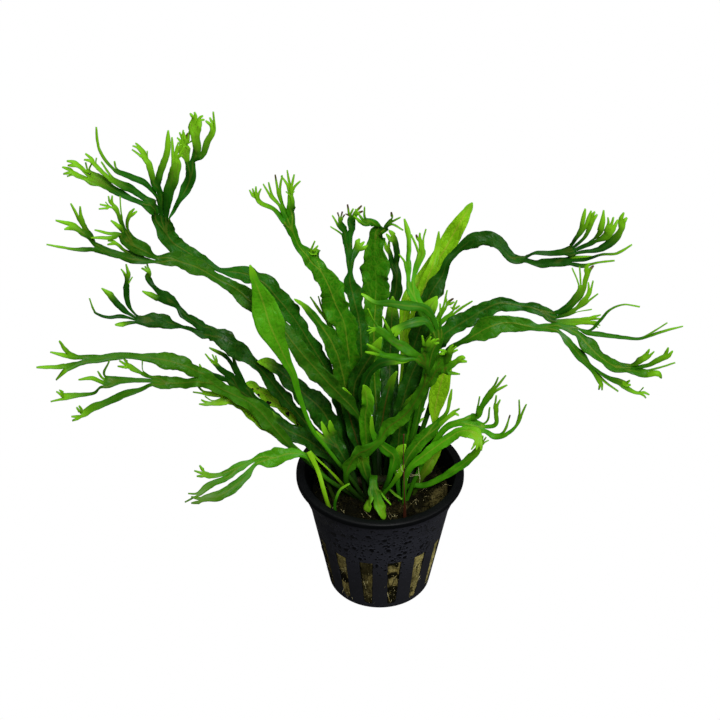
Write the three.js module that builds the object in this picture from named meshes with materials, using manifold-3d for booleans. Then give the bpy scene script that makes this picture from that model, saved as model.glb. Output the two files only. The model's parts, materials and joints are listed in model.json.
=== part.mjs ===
// Potted windelov java fern: a slotted net pot filled with mineral wool, a creeping rhizome
// and the fronds that grow from it, whose tips fork into crests.
// Millimetres, +Z up, origin at the middle of the pot's base, the front of the pot towards -Y.

import * as THREE from "three";
import { mergeVertices } from "three/addons/utils/BufferGeometryUtils.js";
import Module from "manifold-3d";

const wasm = await Module();
wasm.setup();

// Pot
const POT_HEIGHT = 47;
const RIM_RADIUS = 28;
const LIP_WIDTH = 3;
const LIP_DEPTH = 2;
const COLLAR_RADIUS = 27;
const COLLAR_HEIGHT = 12;
const WAIST_RADIUS = 23.6;
const FOOT_RADIUS = 17.4;
const FOOT_CHAMFER = 1.6;
const WALL = 1;
const FLOOR = 1.2;

// Slots in the pot's wall and floor
const SLOTS = 14;
const SLOT_BOTTOM = 2.2;
const SLOT_TOP = 24.5;
const SLOT_WIDTH_BOTTOM = 2.9;
const SLOT_WIDTH_TOP = 4.8;
const FLOOR_SLOTS = 5;
const FLOOR_SLOT_INNER = 5;
const FLOOR_SLOT_OUTER = 13;
const FLOOR_SLOT_WIDTH = 2.6;

// Mineral wool and rhizome
const GAP = 0.35;
const WOOL_TOP = 40;
const WOOL_RADIUS = 22;
const WOOL_RINGS = 3;
const WOOL_LUMP = 0.8;
const SLOT_FILL = 0.8;
const RHIZOME_RADIUS = 2;

// Blades
const BLADE_THICKNESS = 0.7;
const CHANNEL = 0.12;
const ROOT_WIDTH = 1.3;
const ROOT_CLEARANCE = 1.3;
const SPREAD = 0.6;
const STRAIGHTEN = 0.25;
const SPREAD_RISE = 45;

// The fronds are set out on a drawing plane through the middle of the rim. It leans back, so that
// it faces an eye in front of and above the pot. A point on it is across, rise and near: near lifts
// the point off the plane towards the eye.
const LEAN = THREE.MathUtils.degToRad(36.5);
const EYE = new THREE.Vector3(-6.7, 36.7, 700);
const ACROSS = new THREE.Vector3(1, 0, 0);
const RISE = new THREE.Vector3(0, Math.sin(LEAN), Math.cos(LEAN));
const NEAR = new THREE.Vector3(0, -Math.cos(LEAN), Math.sin(LEAN));
const UP = new THREE.Vector3(0, 0, 1);

const COLOURS = {
  plastic: "#17181b",
  wool: "#5b5322",
  rhizome: "#2c3a14",
  dark: "#17500e",
  green: "#2b6d12",
  bright: "#4f9416",
  pale: "#7fae2a",
  stalk: "#33110f",
};

const plant = new THREE.Group();

function addPiece(name, geometry, colour, roughness) {
  const material = new THREE.MeshStandardMaterial({ color: COLOURS[colour], roughness, metalness: 0 });
  const mesh = new THREE.Mesh(geometry, material);
  mesh.name = name;
  plant.add(mesh);
}

// Booleans on closed meshes

function toSolid(geometry) {
  const bare = geometry.clone();
  bare.deleteAttribute("normal");
  bare.deleteAttribute("uv");
  const merged = mergeVertices(bare, 1e-4);
  return new wasm.Manifold(new wasm.Mesh({
    numProp: 3,
    vertProperties: new Float32Array(merged.attributes.position.array),
    triVerts: new Uint32Array(merged.index.array),
  }));
}

function toGeometry(solid) {
  const mesh = solid.getMesh();
  const geometry = new THREE.BufferGeometry();
  geometry.setAttribute("position", new THREE.BufferAttribute(mesh.vertProperties, 3));
  geometry.setIndex(new THREE.BufferAttribute(mesh.triVerts, 1));
  geometry.computeVertexNormals();
  return geometry;
}

function lathe(profile, segments) {
  const points = profile.map(([radius, height]) => new THREE.Vector2(radius, height));
  return new THREE.LatheGeometry(points, segments).rotateX(Math.PI / 2);
}

// Pot

function wallRadius(height) {
  const share = (height - FOOT_CHAMFER) / (POT_HEIGHT - COLLAR_HEIGHT - FOOT_CHAMFER);
  return THREE.MathUtils.lerp(FOOT_RADIUS, WAIST_RADIUS, share);
}

function potShell() {
  const waist = POT_HEIGHT - COLLAR_HEIGHT;
  const shoulder = POT_HEIGHT - LIP_DEPTH;
  return toSolid(lathe([
    [0, 0],
    [FOOT_RADIUS - 1.6, 0],
    [FOOT_RADIUS - 0.8, 0.5],
    [FOOT_RADIUS, FOOT_CHAMFER],
    [WAIST_RADIUS, waist],
    [COLLAR_RADIUS, shoulder - 0.6],
    [RIM_RADIUS, shoulder],
    [RIM_RADIUS, POT_HEIGHT - 0.7],
    [RIM_RADIUS - 0.7, POT_HEIGHT],
    [RIM_RADIUS - LIP_WIDTH + 0.5, POT_HEIGHT],
    [RIM_RADIUS - LIP_WIDTH, POT_HEIGHT - 0.6],
    [RIM_RADIUS - LIP_WIDTH, shoulder],
    [WAIST_RADIUS - WALL, waist],
    [FOOT_RADIUS - WALL, FOOT_CHAMFER + 0.4],
    [FOOT_RADIUS - WALL - 0.6, FLOOR],
    [0, FLOOR],
  ], 3 * SLOTS));
}

// A prism of a slot's outline on the +X side: square at the top, round at the bottom and
// tapered between. Inset is how far it stays inside the slot.
function slotPrism(inset, start, depth) {
  const low = SLOT_WIDTH_BOTTOM / 2 - inset;
  const high = SLOT_WIDTH_TOP / 2 - inset;
  const bottom = SLOT_BOTTOM + low + 2 * inset;
  const top = SLOT_TOP - 2 * inset;
  const shape = new THREE.Shape();
  shape.moveTo(-low, bottom);
  shape.absarc(0, bottom, low, Math.PI, 2 * Math.PI, false);
  shape.lineTo(high, top);
  shape.lineTo(-high, top);
  const prism = new THREE.ExtrudeGeometry(shape, { depth, bevelEnabled: false, curveSegments: 3 });
  prism.rotateX(Math.PI / 2);
  prism.rotateZ(Math.PI / 2);
  prism.translate(start, 0, 0);
  return toSolid(prism);
}

function floorSlot() {
  const length = FLOOR_SLOT_OUTER - FLOOR_SLOT_INNER;
  const slot = new THREE.BoxGeometry(length, FLOOR_SLOT_WIDTH, 3 * FLOOR);
  slot.translate((FLOOR_SLOT_INNER + FLOOR_SLOT_OUTER) / 2, 0, FLOOR / 2);
  return toSolid(slot);
}

// Turns from +X to the front, then half a step on, so that a bar is at the front.
function slotAngle(index, count) {
  return -90 + ((index + 0.5) * 360) / count;
}

function pot() {
  let shell = potShell();
  const slot = slotPrism(0, FOOT_RADIUS / 2, RIM_RADIUS - FOOT_RADIUS / 2);
  for (let i = 0; i < SLOTS; i += 1) {
    shell = shell.subtract(slot.rotate([0, 0, slotAngle(i, SLOTS)]));
  }
  const opening = floorSlot();
  for (let i = 0; i < FLOOR_SLOTS; i += 1) {
    shell = shell.subtract(opening.rotate([0, 0, slotAngle(i, FLOOR_SLOTS)]));
  }
  return toGeometry(shell);
}

// Mineral wool: a plug with an uneven top, that fills every slot

function woolTop(x, y) {
  const swell = Math.sin(0.31 * x + 1.1) * Math.cos(0.27 * y - 0.4);
  const ripple = 0.5 * Math.sin(0.7 * x - 0.5 * y);
  return WOOL_TOP + WOOL_LUMP * (swell + ripple);
}

function woolPlug() {
  const segments = 2 * SLOTS;
  const inside = WALL + GAP;
  const ringRadius = (_, ring) => [(ring / WOOL_RINGS) * WOOL_RADIUS, WOOL_TOP];
  const top = Array.from({ length: WOOL_RINGS }, ringRadius);
  const plug = lathe([
    [0, FLOOR + GAP],
    [FOOT_RADIUS - inside - 0.9, FLOOR + GAP],
    [FOOT_RADIUS - inside, FOOT_CHAMFER + 1],
    [WAIST_RADIUS - inside, POT_HEIGHT - COLLAR_HEIGHT],
    [WAIST_RADIUS - inside + 0.6, WOOL_TOP - 2],
    ...top.reverse(),
  ], segments);
  const places = plug.attributes.position;
  for (let i = 0; i < places.count; i += 1) {
    if (places.getZ(i) > WOOL_TOP - 0.1) {
      places.setZ(i, woolTop(places.getX(i), places.getY(i)));
    }
  }
  return toSolid(plug);
}

// The stretch of wool that fills one slot, cut off just inside the wall's outer face.
function woolBulge() {
  const fill = slotPrism(GAP, FOOT_RADIUS - 4, WAIST_RADIUS);
  const limit = lathe([
    [0, 0],
    [wallRadius(0) - WALL + SLOT_FILL, 0],
    [wallRadius(POT_HEIGHT) - WALL + SLOT_FILL, POT_HEIGHT],
    [0, POT_HEIGHT],
  ], 3 * SLOTS);
  return fill.intersect(toSolid(limit));
}

function wool() {
  let plug = woolPlug();
  const bulge = woolBulge();
  for (let i = 0; i < SLOTS; i += 1) {
    plug = plug.add(bulge.rotate([0, 0, slotAngle(i, SLOTS)]));
  }
  return toGeometry(plug);
}

// Rhizome: a knobbly creeping stem that lies on the wool

const RHIZOME_ROUTE = [
  [-10.6, -3.4],
  [-7.5, -2.2],
  [-4, -1.8],
  [-1, -1.6],
  [2.5, -1.8],
  [6, -1],
  [8.6, -0.2],
];

function rhizome() {
  const sides = 7;
  const height = WOOL_TOP + 1.5 * WOOL_LUMP + GAP + 1.15 * RHIZOME_RADIUS;
  const centres = RHIZOME_ROUTE.map(([x, y]) => new THREE.Vector3(x, y, height));
  const rings = centres.map((centre, index) => {
    const before = centres[Math.max(index - 1, 0)];
    const after = centres[Math.min(index + 1, centres.length - 1)];
    const along = after.clone().sub(before).normalize();
    const side = new THREE.Vector3().crossVectors(along, UP).normalize();
    const knob = RHIZOME_RADIUS * (index % 2 ? 1.12 : 0.85);
    return Array.from({ length: sides }, (_, corner) => {
      const angle = (2 * Math.PI * corner) / sides;
      return centre.clone()
        .addScaledVector(side, knob * Math.cos(angle))
        .addScaledVector(UP, knob * Math.sin(angle));
    });
  });
  const skin = new Skin();
  const ids = rings.map((ring) => ring.map((point) => skin.vertex(point)));
  for (let row = 1; row < ids.length; row += 1) {
    for (let corner = 0; corner < sides; corner += 1) {
      const next = (corner + 1) % sides;
      skin.face(ids[row - 1][corner], ids[row][corner], ids[row][next]);
      skin.face(ids[row - 1][corner], ids[row][next], ids[row - 1][next]);
    }
  }
  for (let corner = 1; corner < sides - 1; corner += 1) {
    skin.face(ids[0][0], ids[0][corner], ids[0][corner + 1]);
    skin.face(ids.at(-1)[0], ids.at(-1)[corner + 1], ids.at(-1)[corner]);
  }
  return skin.geometry();
}

// A list of points and triangles that grows

class Skin {
  constructor() {
    this.points = [];
    this.faces = [];
  }

  vertex(point) {
    this.points.push(point.x, point.y, point.z);
    return this.points.length / 3 - 1;
  }

  face(a, b, c) {
    this.faces.push(a, b, c);
  }

  // Fills the strip between two chains of vertices that run the same way.
  zip(near, far, flip) {
    let i = 0;
    let j = 0;
    while (i < near.length - 1 || j < far.length - 1) {
      const nearShare = near.length > 1 ? (i + 1) / (near.length - 1) : 2;
      const farShare = far.length > 1 ? (j + 1) / (far.length - 1) : 2;
      const moveNear = j === far.length - 1 || (i < near.length - 1 && nearShare <= farShare);
      const corner = moveNear ? near[i + 1] : far[j + 1];
      const triangle = [near[i], corner, far[j]];
      this.face(...(flip ? triangle.reverse() : triangle));
      i += moveNear ? 1 : 0;
      j += moveNear ? 0 : 1;
    }
  }

  geometry() {
    const geometry = new THREE.BufferGeometry();
    geometry.setAttribute("position", new THREE.Float32BufferAttribute(this.points, 3));
    geometry.setIndex(this.faces);
    geometry.computeVertexNormals();
    return geometry;
  }
}

// Fronds: a blade is a list of stations, each [across, rise, near, width], and the blades that it
// forks into. Width is as seen from the eye. A station of no width is a pointed tip.

function blade(stations, ...forks) {
  return { stations, forks };
}

function tip(across, rise, near) {
  return blade([[across, rise, near, 0]]);
}

// Higher up the blades stand further apart, and more upright, than the sketch's own depths.
function depth(rise, near) {
  const share = THREE.MathUtils.smoothstep(rise, 0, SPREAD_RISE);
  return near * (1 + SPREAD * share) + STRAIGHTEN * rise * share;
}

function onPlane([across, rise, near]) {
  const flat = new THREE.Vector3(across, rise, 0).lerp(EYE, depth(rise, near) / EYE.z);
  return new THREE.Vector3(0, 0, POT_HEIGHT)
    .addScaledVector(ACROSS, flat.x)
    .addScaledVector(RISE, flat.y)
    .addScaledVector(NEAR, flat.z);
}

// The blade's frame at a station: along it, across it, and out of its upper face.
function station(place, before, after, lift) {
  const centre = onPlane(place);
  const along = after.clone().sub(before).normalize();
  const facing = NEAR.clone().lerp(UP, lift);
  const side = new THREE.Vector3().crossVectors(along, facing).normalize();
  const normal = new THREE.Vector3().crossVectors(side, along).normalize();
  const seenAlong = along.clone().projectOnPlane(NEAR).normalize();
  const seenSide = side.clone().projectOnPlane(NEAR);
  const seen = seenSide.clone().projectOnPlane(seenAlong).length();
  return { centre, side, normal, half: place[3] / 2 / Math.max(seen, 0.6) };
}

function thickness(width, petiole) {
  return petiole ? 0.8 * Math.min(width, 1.6) : BLADE_THICKNESS * Math.min(1, 0.45 + width / 5);
}

// One row of vertices across the blade. Each share marks a pair, above and below, between the
// margins, which are sharp.
function addRow(skin, frame, thick, shares) {
  const { centre, side, normal, half } = frame;
  if (half === 0) {
    const point = skin.vertex(centre);
    return { frame, upper: [point], lower: [point] };
  }
  const rimLift = CHANNEL * half;
  const margin = (sign) => skin.vertex(centre.clone()
    .addScaledVector(side, sign * half)
    .addScaledVector(normal, rimLift));
  const inner = (share, sign) => skin.vertex(centre.clone()
    .addScaledVector(side, (2 * share - 1) * half)
    .addScaledVector(normal, (sign * thick) / 2));
  const left = margin(-1);
  const right = margin(1);
  const upper = [left, ...shares.map((share) => inner(share, 1)), right];
  const lower = [left, ...shares.map((share) => inner(share, -1)), right];
  return { frame, upper, lower };
}

function closeRow(skin, row, outwards) {
  const [left, top, right] = row.upper;
  const bottom = row.lower[1];
  if (outwards) {
    skin.face(left, top, right);
    skin.face(left, right, bottom);
  } else {
    skin.face(left, right, top);
    skin.face(left, bottom, right);
  }
}

// Where along a row the blades that grow from it meet, from the widths that they start with.
function forkShares(forks) {
  const widths = forks.map((fork) => Math.max(fork.stations[0][3], 0.8));
  const total = widths.reduce((sum, width) => sum + width, 0);
  let reached = 0;
  return widths.slice(0, -1).map((width) => {
    reached += width;
    return reached / total;
  });
}

function growBlade(skin, part, start, lift, isTrunk) {
  let row = start;
  const places = part.stations.map(onPlane);
  part.stations.forEach((place, index) => {
    const last = index === places.length - 1;
    const before = index ? places[index - 1] : row.frame.centre;
    const nexts = last ? part.forks.map((fork) => onPlane(fork.stations[0])) : [places[index + 1]];
    const after = nexts.length
      ? nexts.reduce((sum, next) => sum.add(next), new THREE.Vector3()).divideScalar(nexts.length)
      : places[index];
    const frame = station(place, before, after, lift);
    const forked = last && part.forks.length > 1;
    const ordered = forked ? leftToRight(part.forks, frame) : part.forks;
    const shares = forked ? forkShares(ordered) : [0.5];
    const next = addRow(skin, frame, thickness(place[3], isTrunk && index < 2), shares);
    skin.zip(row.upper, next.upper, false);
    skin.zip(row.lower, next.lower, true);
    closeCrotch(skin, row, next);
    row = next;
    if (last && place[3] > 0 && !part.forks.length) {
      closeRow(skin, row, true);
    }
    if (last) {
      ordered.forEach((fork, child) => growBlade(skin, fork, slice(row, child, forked), lift, false));
    }
  });
}

function leftToRight(forks, frame) {
  const reach = (fork) => onPlane(fork.stations[0]).sub(frame.centre).normalize().dot(frame.side);
  return [...forks].sort((one, other) => reach(one) - reach(other));
}

// The stretch of a forked row that one of its blades grows from.
function slice(row, child, forked) {
  if (!forked) {
    return row;
  }
  const shares = row.upper.length - 2;
  return {
    frame: row.frame,
    upper: row.upper.slice(child, child + 2),
    lower: row.lower.slice(child, child + 2),
    openLeft: child > 0,
    openRight: child < shares,
  };
}

// A blade that starts inside a fork has a cut edge there, closed by a triangle.
function closeCrotch(skin, row, next) {
  if (row.openLeft) {
    skin.face(row.upper[0], next.upper[0], row.lower[0]);
  }
  if (row.openRight) {
    skin.face(row.upper.at(-1), row.lower.at(-1), next.upper.at(-1));
  }
}

function frondGeometry({ root, lift = 0.35, part }) {
  const skin = new Skin();
  const first = onPlane(part.stations[0]);
  const base = new THREE.Vector3(root[0], root[1], woolTop(...root) + ROOT_CLEARANCE);
  const frame = station([0, 0, 0, ROOT_WIDTH], base, first, lift);
  const thick = thickness(ROOT_WIDTH, true);
  frame.half = ROOT_WIDTH / 2;
  base.z += frame.half * Math.abs(frame.side.z) + (thick / 2) * Math.abs(frame.normal.z);
  frame.centre = base;
  const row = addRow(skin, frame, thick, [0.5]);
  closeRow(skin, row, false);
  growBlade(skin, part, row, lift, true);
  return skin.geometry();
}

// The fronds, from left to right

const FRONDS = {
  frond_left_tall: {
    root: [-5.2, 3.6],
    colour: "dark",
    part: blade(
      [[-11.5, 12, -4, 2], [-14.5, 25, -1, 3.6], [-19, 35, 1, 4.4], [-23.6, 42.5, 3, 5.2],
        [-28.1, 49.4, 5, 6],
        [-33.4, 56.4, 7, 5.6], [-39.8, 63, 9, 5.8], [-46.7, 65.5, 11, 5.2], [-51, 66.2, 12, 2.3],
        [-53.7, 66.7, 13, 1.6], [-58.6, 69.2, 14, 3.6], [-64.4, 72.6, 15, 4.6], [-69.4, 76.2, 16, 5.4],
        [-71.8, 80.4, 17, 5.4], [-72.8, 84.6, 18, 6.4]],
      blade(
        [[-68.8, 86.4, 18, 1.2], [-67, 89.8, 19, 1.6], [-64.4, 94, 19, 3.4], [-63, 98.6, 20, 3.2],
          [-63.4, 102.8, 21, 3.2]],
        blade([[-60.2, 106.2, 22, 4.4]],
          blade([[-57.6, 109.4, 23, 2],
            [-55.8, 113.3, 24, 1.8]], tip(-55.6, 119.5, 25), tip(-56.8, 117.6, 24)),
          blade([[-61.6, 111, 23, 2.8]], tip(-61.9, 119.4, 24))),
        blade([[-65.4, 107, 22, 4]], tip(-66.9, 112.6, 23), tip(-65.6, 113.4, 23), tip(-63.6, 113, 23)),
      ),
      blade(
        [[-76, 87.6, 20, 4.2]],
        blade(
          [[-78.6, 89.6, 21, 3.4]],
          blade([[-84, 91, 22, 1.8], [-88.4, 93.2, 23, 2.4], [-92.6, 95.6, 24, 4.2], [-97, 97.8, 24, 4.6]],
            blade([[-101, 98.2, 24, 1.8]], tip(-106, 101, 24)),
            blade([[-100.2, 101.2, 25, 1.4]], tip(-104.5, 103, 25)),
            tip(-98.2, 102.6, 25)),
          blade([[-82, 93.2, 22, 2.2], [-86, 95, 24, 2.4], [-90, 97.2, 25, 2.2]],
            tip(-93, 102.8, 26),
            blade([[-94.2, 100.8, 26, 1.5]], tip(-98.3, 105.5, 27))),
        ),
      ),
      blade(
        [[-73.6, 91.8, 21, 2.8]],
        blade([[-79, 96, 23, 1.7], [-84, 98, 24, 2.2], [-88.2, 100, 25, 1.8]],
          tip(-88.6, 103, 26),
          blade([[-91.4, 103, 26, 1], [-94, 108, 27, 0.8]], tip(-94.6, 114.4, 28))),
        blade([[-74.8, 96.6, 23, 3.2]],
          blade([[-77.2, 102, 24, 2.1]], tip(-81.6, 109, 25)),
          blade([[-72.6, 101.2, 24, 2.2], [-71, 106, 25, 2]], tip(-70.6, 113.3, 26))),
      ),
      blade([[-70.4, 92, 22, 3.2], [-69, 97, 23, 3.6], [-68, 102.2, 24, 3.2]],
        tip(-69.4, 111, 25), tip(-67.2, 109.4, 25)),
    ),
  },
  frond_left_middle: {
    root: [-4.4, -6],
    colour: "green",
    part: blade(
      [[-6.3, 3, 4, 1.7], [-6.2, 11, 8, 1.7], [-6.8, 16.5, 10, 1.7], [-9.2, 20.6, 12, 3.2],
        [-13, 24.8, 13, 4.4],
        [-17.4, 29.4, 14, 5.3], [-22.6, 35, 14, 5.4], [-27.5, 40.4, 15, 4.6], [-32, 46, 15, 5],
        [-37.4, 51.4, 15, 6], [-43.3, 56.4, 15, 5.2], [-47, 59.7, 15, 4.6], [-50.6, 61.9, 16, 3.2],
        [-54, 63.5, 16, 3], [-57.5, 65.4, 16, 4.4], [-61, 67.4, 17, 5.6], [-65.5, 69, 17, 5.4],
        [-70, 70.3, 18, 4.4], [-74.4, 70, 18, 2.8]],
      blade(
        [[-80.2, 69.9, 19, 2.8], [-85.6, 71.8, 20, 3.6]],
        blade([[-91.4, 73, 21, 2.4], [-95, 74.6, 22, 3.2]],
          blade([[-98.5, 73.4, 22, 1.6], [-104, 73.8, 23, 0.9]], tip(-111.2, 75.2, 24)),
          blade([[-96.8, 77.8, 23, 2.4], [-99.4, 80.2, 24, 3.8]],
            blade([[-103.5, 81.3, 25, 2.4]], tip(-108.2, 83.2, 26), tip(-105.3, 80.2, 26)),
            blade([[-100.3, 84.6, 25, 2]], tip(-103.2, 88.9, 26), tip(-100, 88, 26)))),
        blade([[-87.8, 75.4, 22, 1]], tip(-90.8, 76.5, 23)),
      ),
      blade(
        [[-78.6, 73, 20, 3.6], [-83, 75.6, 21, 4.6], [-85.6, 79.4, 22, 3.6]],
        blade([[-89.2, 78.2, 23, 2.4]], tip(-95.2, 80, 24), tip(-96.5, 77.4, 24)),
        blade([[-87, 81.4, 24, 1.6]], tip(-89.8, 83.2, 25)),
        blade([[-86.8, 84.8, 24, 1.8]],
          blade([[-89, 88, 25, 1.8]], tip(-90.6, 91.4, 26), tip(-93.8, 87, 26)),
          tip(-86.7, 91.4, 25)),
        blade([[-83.8, 84, 24, 1.4]], tip(-81.8, 87.2, 25)),
      ),
    ),
  },
  frond_left_dark: {
    root: [-10.8, -1.8],
    colour: "dark",
    part: blade(
      [[-17.6, 7.6, 0, 2.4], [-22, 12.6, 2, 3], [-27.4, 18.6, 4, 3.4], [-31.4, 23.2, 5, 4],
        [-35.4, 28.4, 6, 4.8],
        [-39.6, 33, 7, 3.6], [-43, 36.4, 8, 3.6], [-46.2, 38.8, 8, 5], [-50, 42.2, 9, 5.4],
        [-54, 44.6, 9, 5], [-58, 46.8, 10, 5]],
      blade([[-61.8, 49.4, 11, 2.6], [-65, 51.6, 12, 3], [-67.2, 54.4, 12, 1.7], [-70.4, 56.7, 13, 3.3],
        [-73.2, 58.4, 14, 3]],
        tip(-79.3, 59.7, 15),
        blade([[-75.2, 61, 15, 1.2], [-77, 64, 15, 2.2], [-76.9, 66, 16, 1]], tip(-78.4, 68, 16))),
      blade([[-62.2, 46.6, 11, 1.4], [-65.2, 47.6, 12, 1.3], [-68, 48.4, 12, 2.2], [-72, 49.4, 13, 4.2],
        [-77, 50, 14, 3.6], [-81, 50.3, 15, 2.3]],
        blade([[-85.4, 48.9, 16, 1.5]], tip(-88.4, 48.4, 17)),
        blade([[-85.8, 51.3, 16, 1.1], [-91, 51, 17, 0.9], [-95.2, 52.6, 18, 0.7]], tip(-96.9, 57.3, 19)),
        blade([[-86.2, 54.2, 16, 1.7], [-89.6, 57.8, 17, 1.9]], tip(-92.9, 60.6, 18)),
        blade([[-83.9, 55.6, 16, 1.3], [-84.5, 60.4, 17, 1.9]], tip(-84.7, 68.7, 18))),
    ),
  },
  frond_left_tines: {
    root: [-14, -5.4],
    colour: "dark",
    part: blade(
      [[-20, 5.8, 1, 2.2], [-27, 11.6, 1.4, 2.4], [-35, 18, 2.6, 2.6], [-41, 22.6, 3.6, 3],
        [-45.4, 26.6, 4.6, 3.6]],
      blade([[-50, 30.2, 5.4, 3.2]],
        blade([[-54, 34.4, 6, 1.8]], tip(-58.3, 38.8, 6), tip(-55.9, 38.6, 6)),
        blade([[-57.4, 32, 7, 2]], tip(-61.6, 34.2, 8))),
      blade([[-47.4, 31.8, 5, 2.2], [-49, 35.4, 5, 2.2]],
        blade([[-52.4, 38.6, 5, 1.3]], tip(-57, 40.8, 5)),
        tip(-49.8, 40.5, 5)),
    ),
  },
  frond_left_long: {
    root: [-11.6, -4.8],
    colour: "bright",
    part: blade(
      [[-19.4, -1.2, 6, 1.4], [-25, 3.8, 8.5, 1.6], [-29, 7.4, 10, 2], [-32.4, 10.8, 11.5, 3.2],
        [-36, 14.8, 13, 4.6], [-40, 19.4, 14, 5], [-44, 22.6, 15, 4.6], [-48, 24.6, 16, 3.9],
        [-52, 26.6, 17, 3.6], [-56, 29, 18, 4.6], [-60.4, 31.2, 19, 5.6]],
      blade(
        [[-64.6, 34.6, 20, 4.6], [-70, 36.2, 20, 4.8], [-77, 37.4, 21, 2.8], [-85, 38, 22, 2.2],
          [-93, 37.2, 23, 2.6], [-99, 36.7, 24, 3.2]],
        blade([[-104, 38.4, 25, 2.2]], tip(-110, 39.3, 26), tip(-107, 43.1, 27)),
        blade([[-104.5, 34, 26, 2.4]], tip(-114.6, 34.2, 27), tip(-108, 30, 27)),
      ),
      blade(
        [[-66.2, 29, 19, 3.4], [-71, 29, 19, 3.8], [-76, 29.8, 20, 3]],
        blade([[-79.2, 32.4, 21, 1.5]],
          blade([[-83, 34, 22, 2]], tip(-87, 36.5, 23)),
          tip(-79.3, 36.4, 22)),
        blade([[-82, 30, 21, 1.8], [-88, 29.6, 22, 2.8], [-92, 29.2, 23, 3.8]],
          tip(-90.2, 36.6, 24),
          tip(-94.2, 33, 24),
          blade([[-96, 30.6, 24, 1.4]], tip(-100.6, 30.1, 25)),
          blade([[-95.5, 25.6, 23, 1], [-101, 25, 23, 1.7], [-105.5, 24.4, 24, 2]],
            tip(-109.8, 22.8, 25), tip(-107, 26.6, 25))),
        blade([[-79, 27.2, 21, 1.4], [-84.5, 25.4, 22, 2.6], [-90, 23, 23, 2.2], [-95.5, 20.9, 24, 2.7],
          [-99.5, 18.6, 25, 2.4]],
          tip(-102.6, 16.4, 26), tip(-100.4, 21.5, 26)),
      ),
    ),
  },
  frond_left_small: {
    root: [-14.8, -6.6],
    lift: 0.2,
    colour: "pale",
    part: blade(
      [[-20.6, 0.6, 5, 1.3], [-28, 7, 8, 1.6], [-34.6, 12.2, 10, 2.8], [-39.8, 16, 11, 3.6],
        [-45.4, 20.8, 12, 3.2], [-50.6, 24.2, 14, 3.6]],
      blade([[-55.5, 25.4, 15, 1.8], [-59, 25.8, 16, 1.5]], tip(-61, 28.2, 17), tip(-62.4, 26, 17)),
      blade([[-56, 22.6, 15, 2]], tip(-60.4, 22, 16), tip(-58.4, 24.6, 16)),
    ),
  },
  leaf_spotted: {
    root: [-10, 1.8],
    colour: "pale",
    part: blade([[-18, 8.5, -2, 1.4], [-22.4, 12, -1, 1.8], [-26, 15.2, -0.6, 2.6],
      [-29.4, 18.4, -0.3, 3.4],
      [-33, 21.6, 0, 3.6], [-36.6, 23.8, 0, 4.2], [-40.2, 26.2, 0, 4.6], [-43.4, 27.6, 0, 3.8],
      [-45.6, 28.6, 0, 0]]),
  },
  frond_low_left: {
    root: [-6, -7.2],
    colour: "bright",
    part: blade(
      [[-20.6, -0.4, 12, 1.3], [-25.4, 5, 14.5, 1.8], [-30, 5.5, 15, 3.6], [-34.8, 4.2, 15, 6],
        [-38.8, 3.8, 15, 4.2], [-41.6, 2.8, 15, 3]],
      blade([[-46.6, 1.2, 15.5, 2.8], [-52, -2, 16, 3.6]],
        blade([[-57, -1.9, 17, 1.8]], tip(-62, -0.2, 18)),
        blade([[-57, -5.2, 17, 2], [-61, -8.2, 18, 1.6]], tip(-64, -7.8, 19), tip(-65.1, -10.7, 19))),
      blade([[-45, -2.4, 16, 2.6], [-50, -6.4, 17, 3.8], [-54, -8.7, 18, 3], [-58.5, -9.5, 19, 2.2]],
        tip(-63, -11, 20)),
    ),
  },
  frond_upright: {
    root: [-2.8, 3.6],
    colour: "green",
    part: blade(
      [[-6.6, 12, -5, 2.4], [-8.4, 21, -3, 3.4], [-9.8, 31, -1, 4.8], [-10.8, 41, 1, 6.4],
        [-12.2, 49.5, 3, 8.4],
        [-14.6, 55, 4, 8], [-17.1, 60.8, 6, 7.2], [-19.9, 66.2, 8, 6.6], [-23.4, 70.8, 9, 6.4]],
      blade(
        [[-27.2, 74.6, 11, 3], [-28.6, 78, 12, 2.6], [-29.9, 81, 13, 3], [-31, 84, 14, 5]],
        blade([[-35, 86.4, 15, 1.6], [-40.6, 89.8, 16, 1.8]], tip(-43.6, 93.4, 17), tip(-41.4, 94.6, 17)),
        blade([[-33.2, 88.2, 15, 2.2]],
          blade([[-36.4, 91.6, 16, 1.6]], tip(-39, 95.4, 17), tip(-37.2, 96, 17)),
          blade([[-33.8, 93.4, 16, 1.6]], tip(-35, 98.5, 17), tip(-32.6, 98.3, 17))),
        blade([[-29.9, 88.8, 15, 2.6]], tip(-31, 100, 16), tip(-28.6, 98.6, 16)),
      ),
      tip(-21.7, 76.4, 11),
    ),
  },
  leaf_lance: {
    root: [-4.4, -7.2],
    colour: "bright",
    part: blade([[-18, 7.6, 12, 1.2], [-22.4, 13.2, 14, 1.3], [-25.2, 19.6, 15, 1.5],
      [-27.3, 25.6, 16, 1.8],
      [-29, 31.8, 16.5, 2.4], [-31, 35.8, 17, 3.2], [-33.4, 40.8, 18, 5], [-35.2, 44.6, 19, 6.8],
      [-37, 49.2, 20, 9], [-38.4, 54, 20, 8.6], [-40, 58.6, 21, 5.6], [-41.8, 63, 22, 2.6],
      [-43.4, 68.4, 23, 0]]),
  },
  leaf_left_blade: {
    root: [-7.6, 1.2],
    colour: "green",
    part: blade([[-9.4, 12, -2, 2.2], [-11, 24, 1, 4], [-12.8, 33, 3, 5.8], [-14.8, 39.5, 4, 6.4],
      [-17.4, 44.6, 5, 5.4], [-20.4, 49, 6, 2.8], [-23.6, 53, 7, 2.2], [-26, 55.3, 8, 1.4],
      [-28.6, 57, 9, 0]]),
  },
  frond_left_slender: {
    root: [-4.4, 4.8],
    colour: "green",
    part: blade([[-10, 20, -8, 1.8], [-13, 36, -7, 2.2], [-16.2, 47, -6, 1.8], [-19, 52.4, -5, 1.5]],
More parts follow.
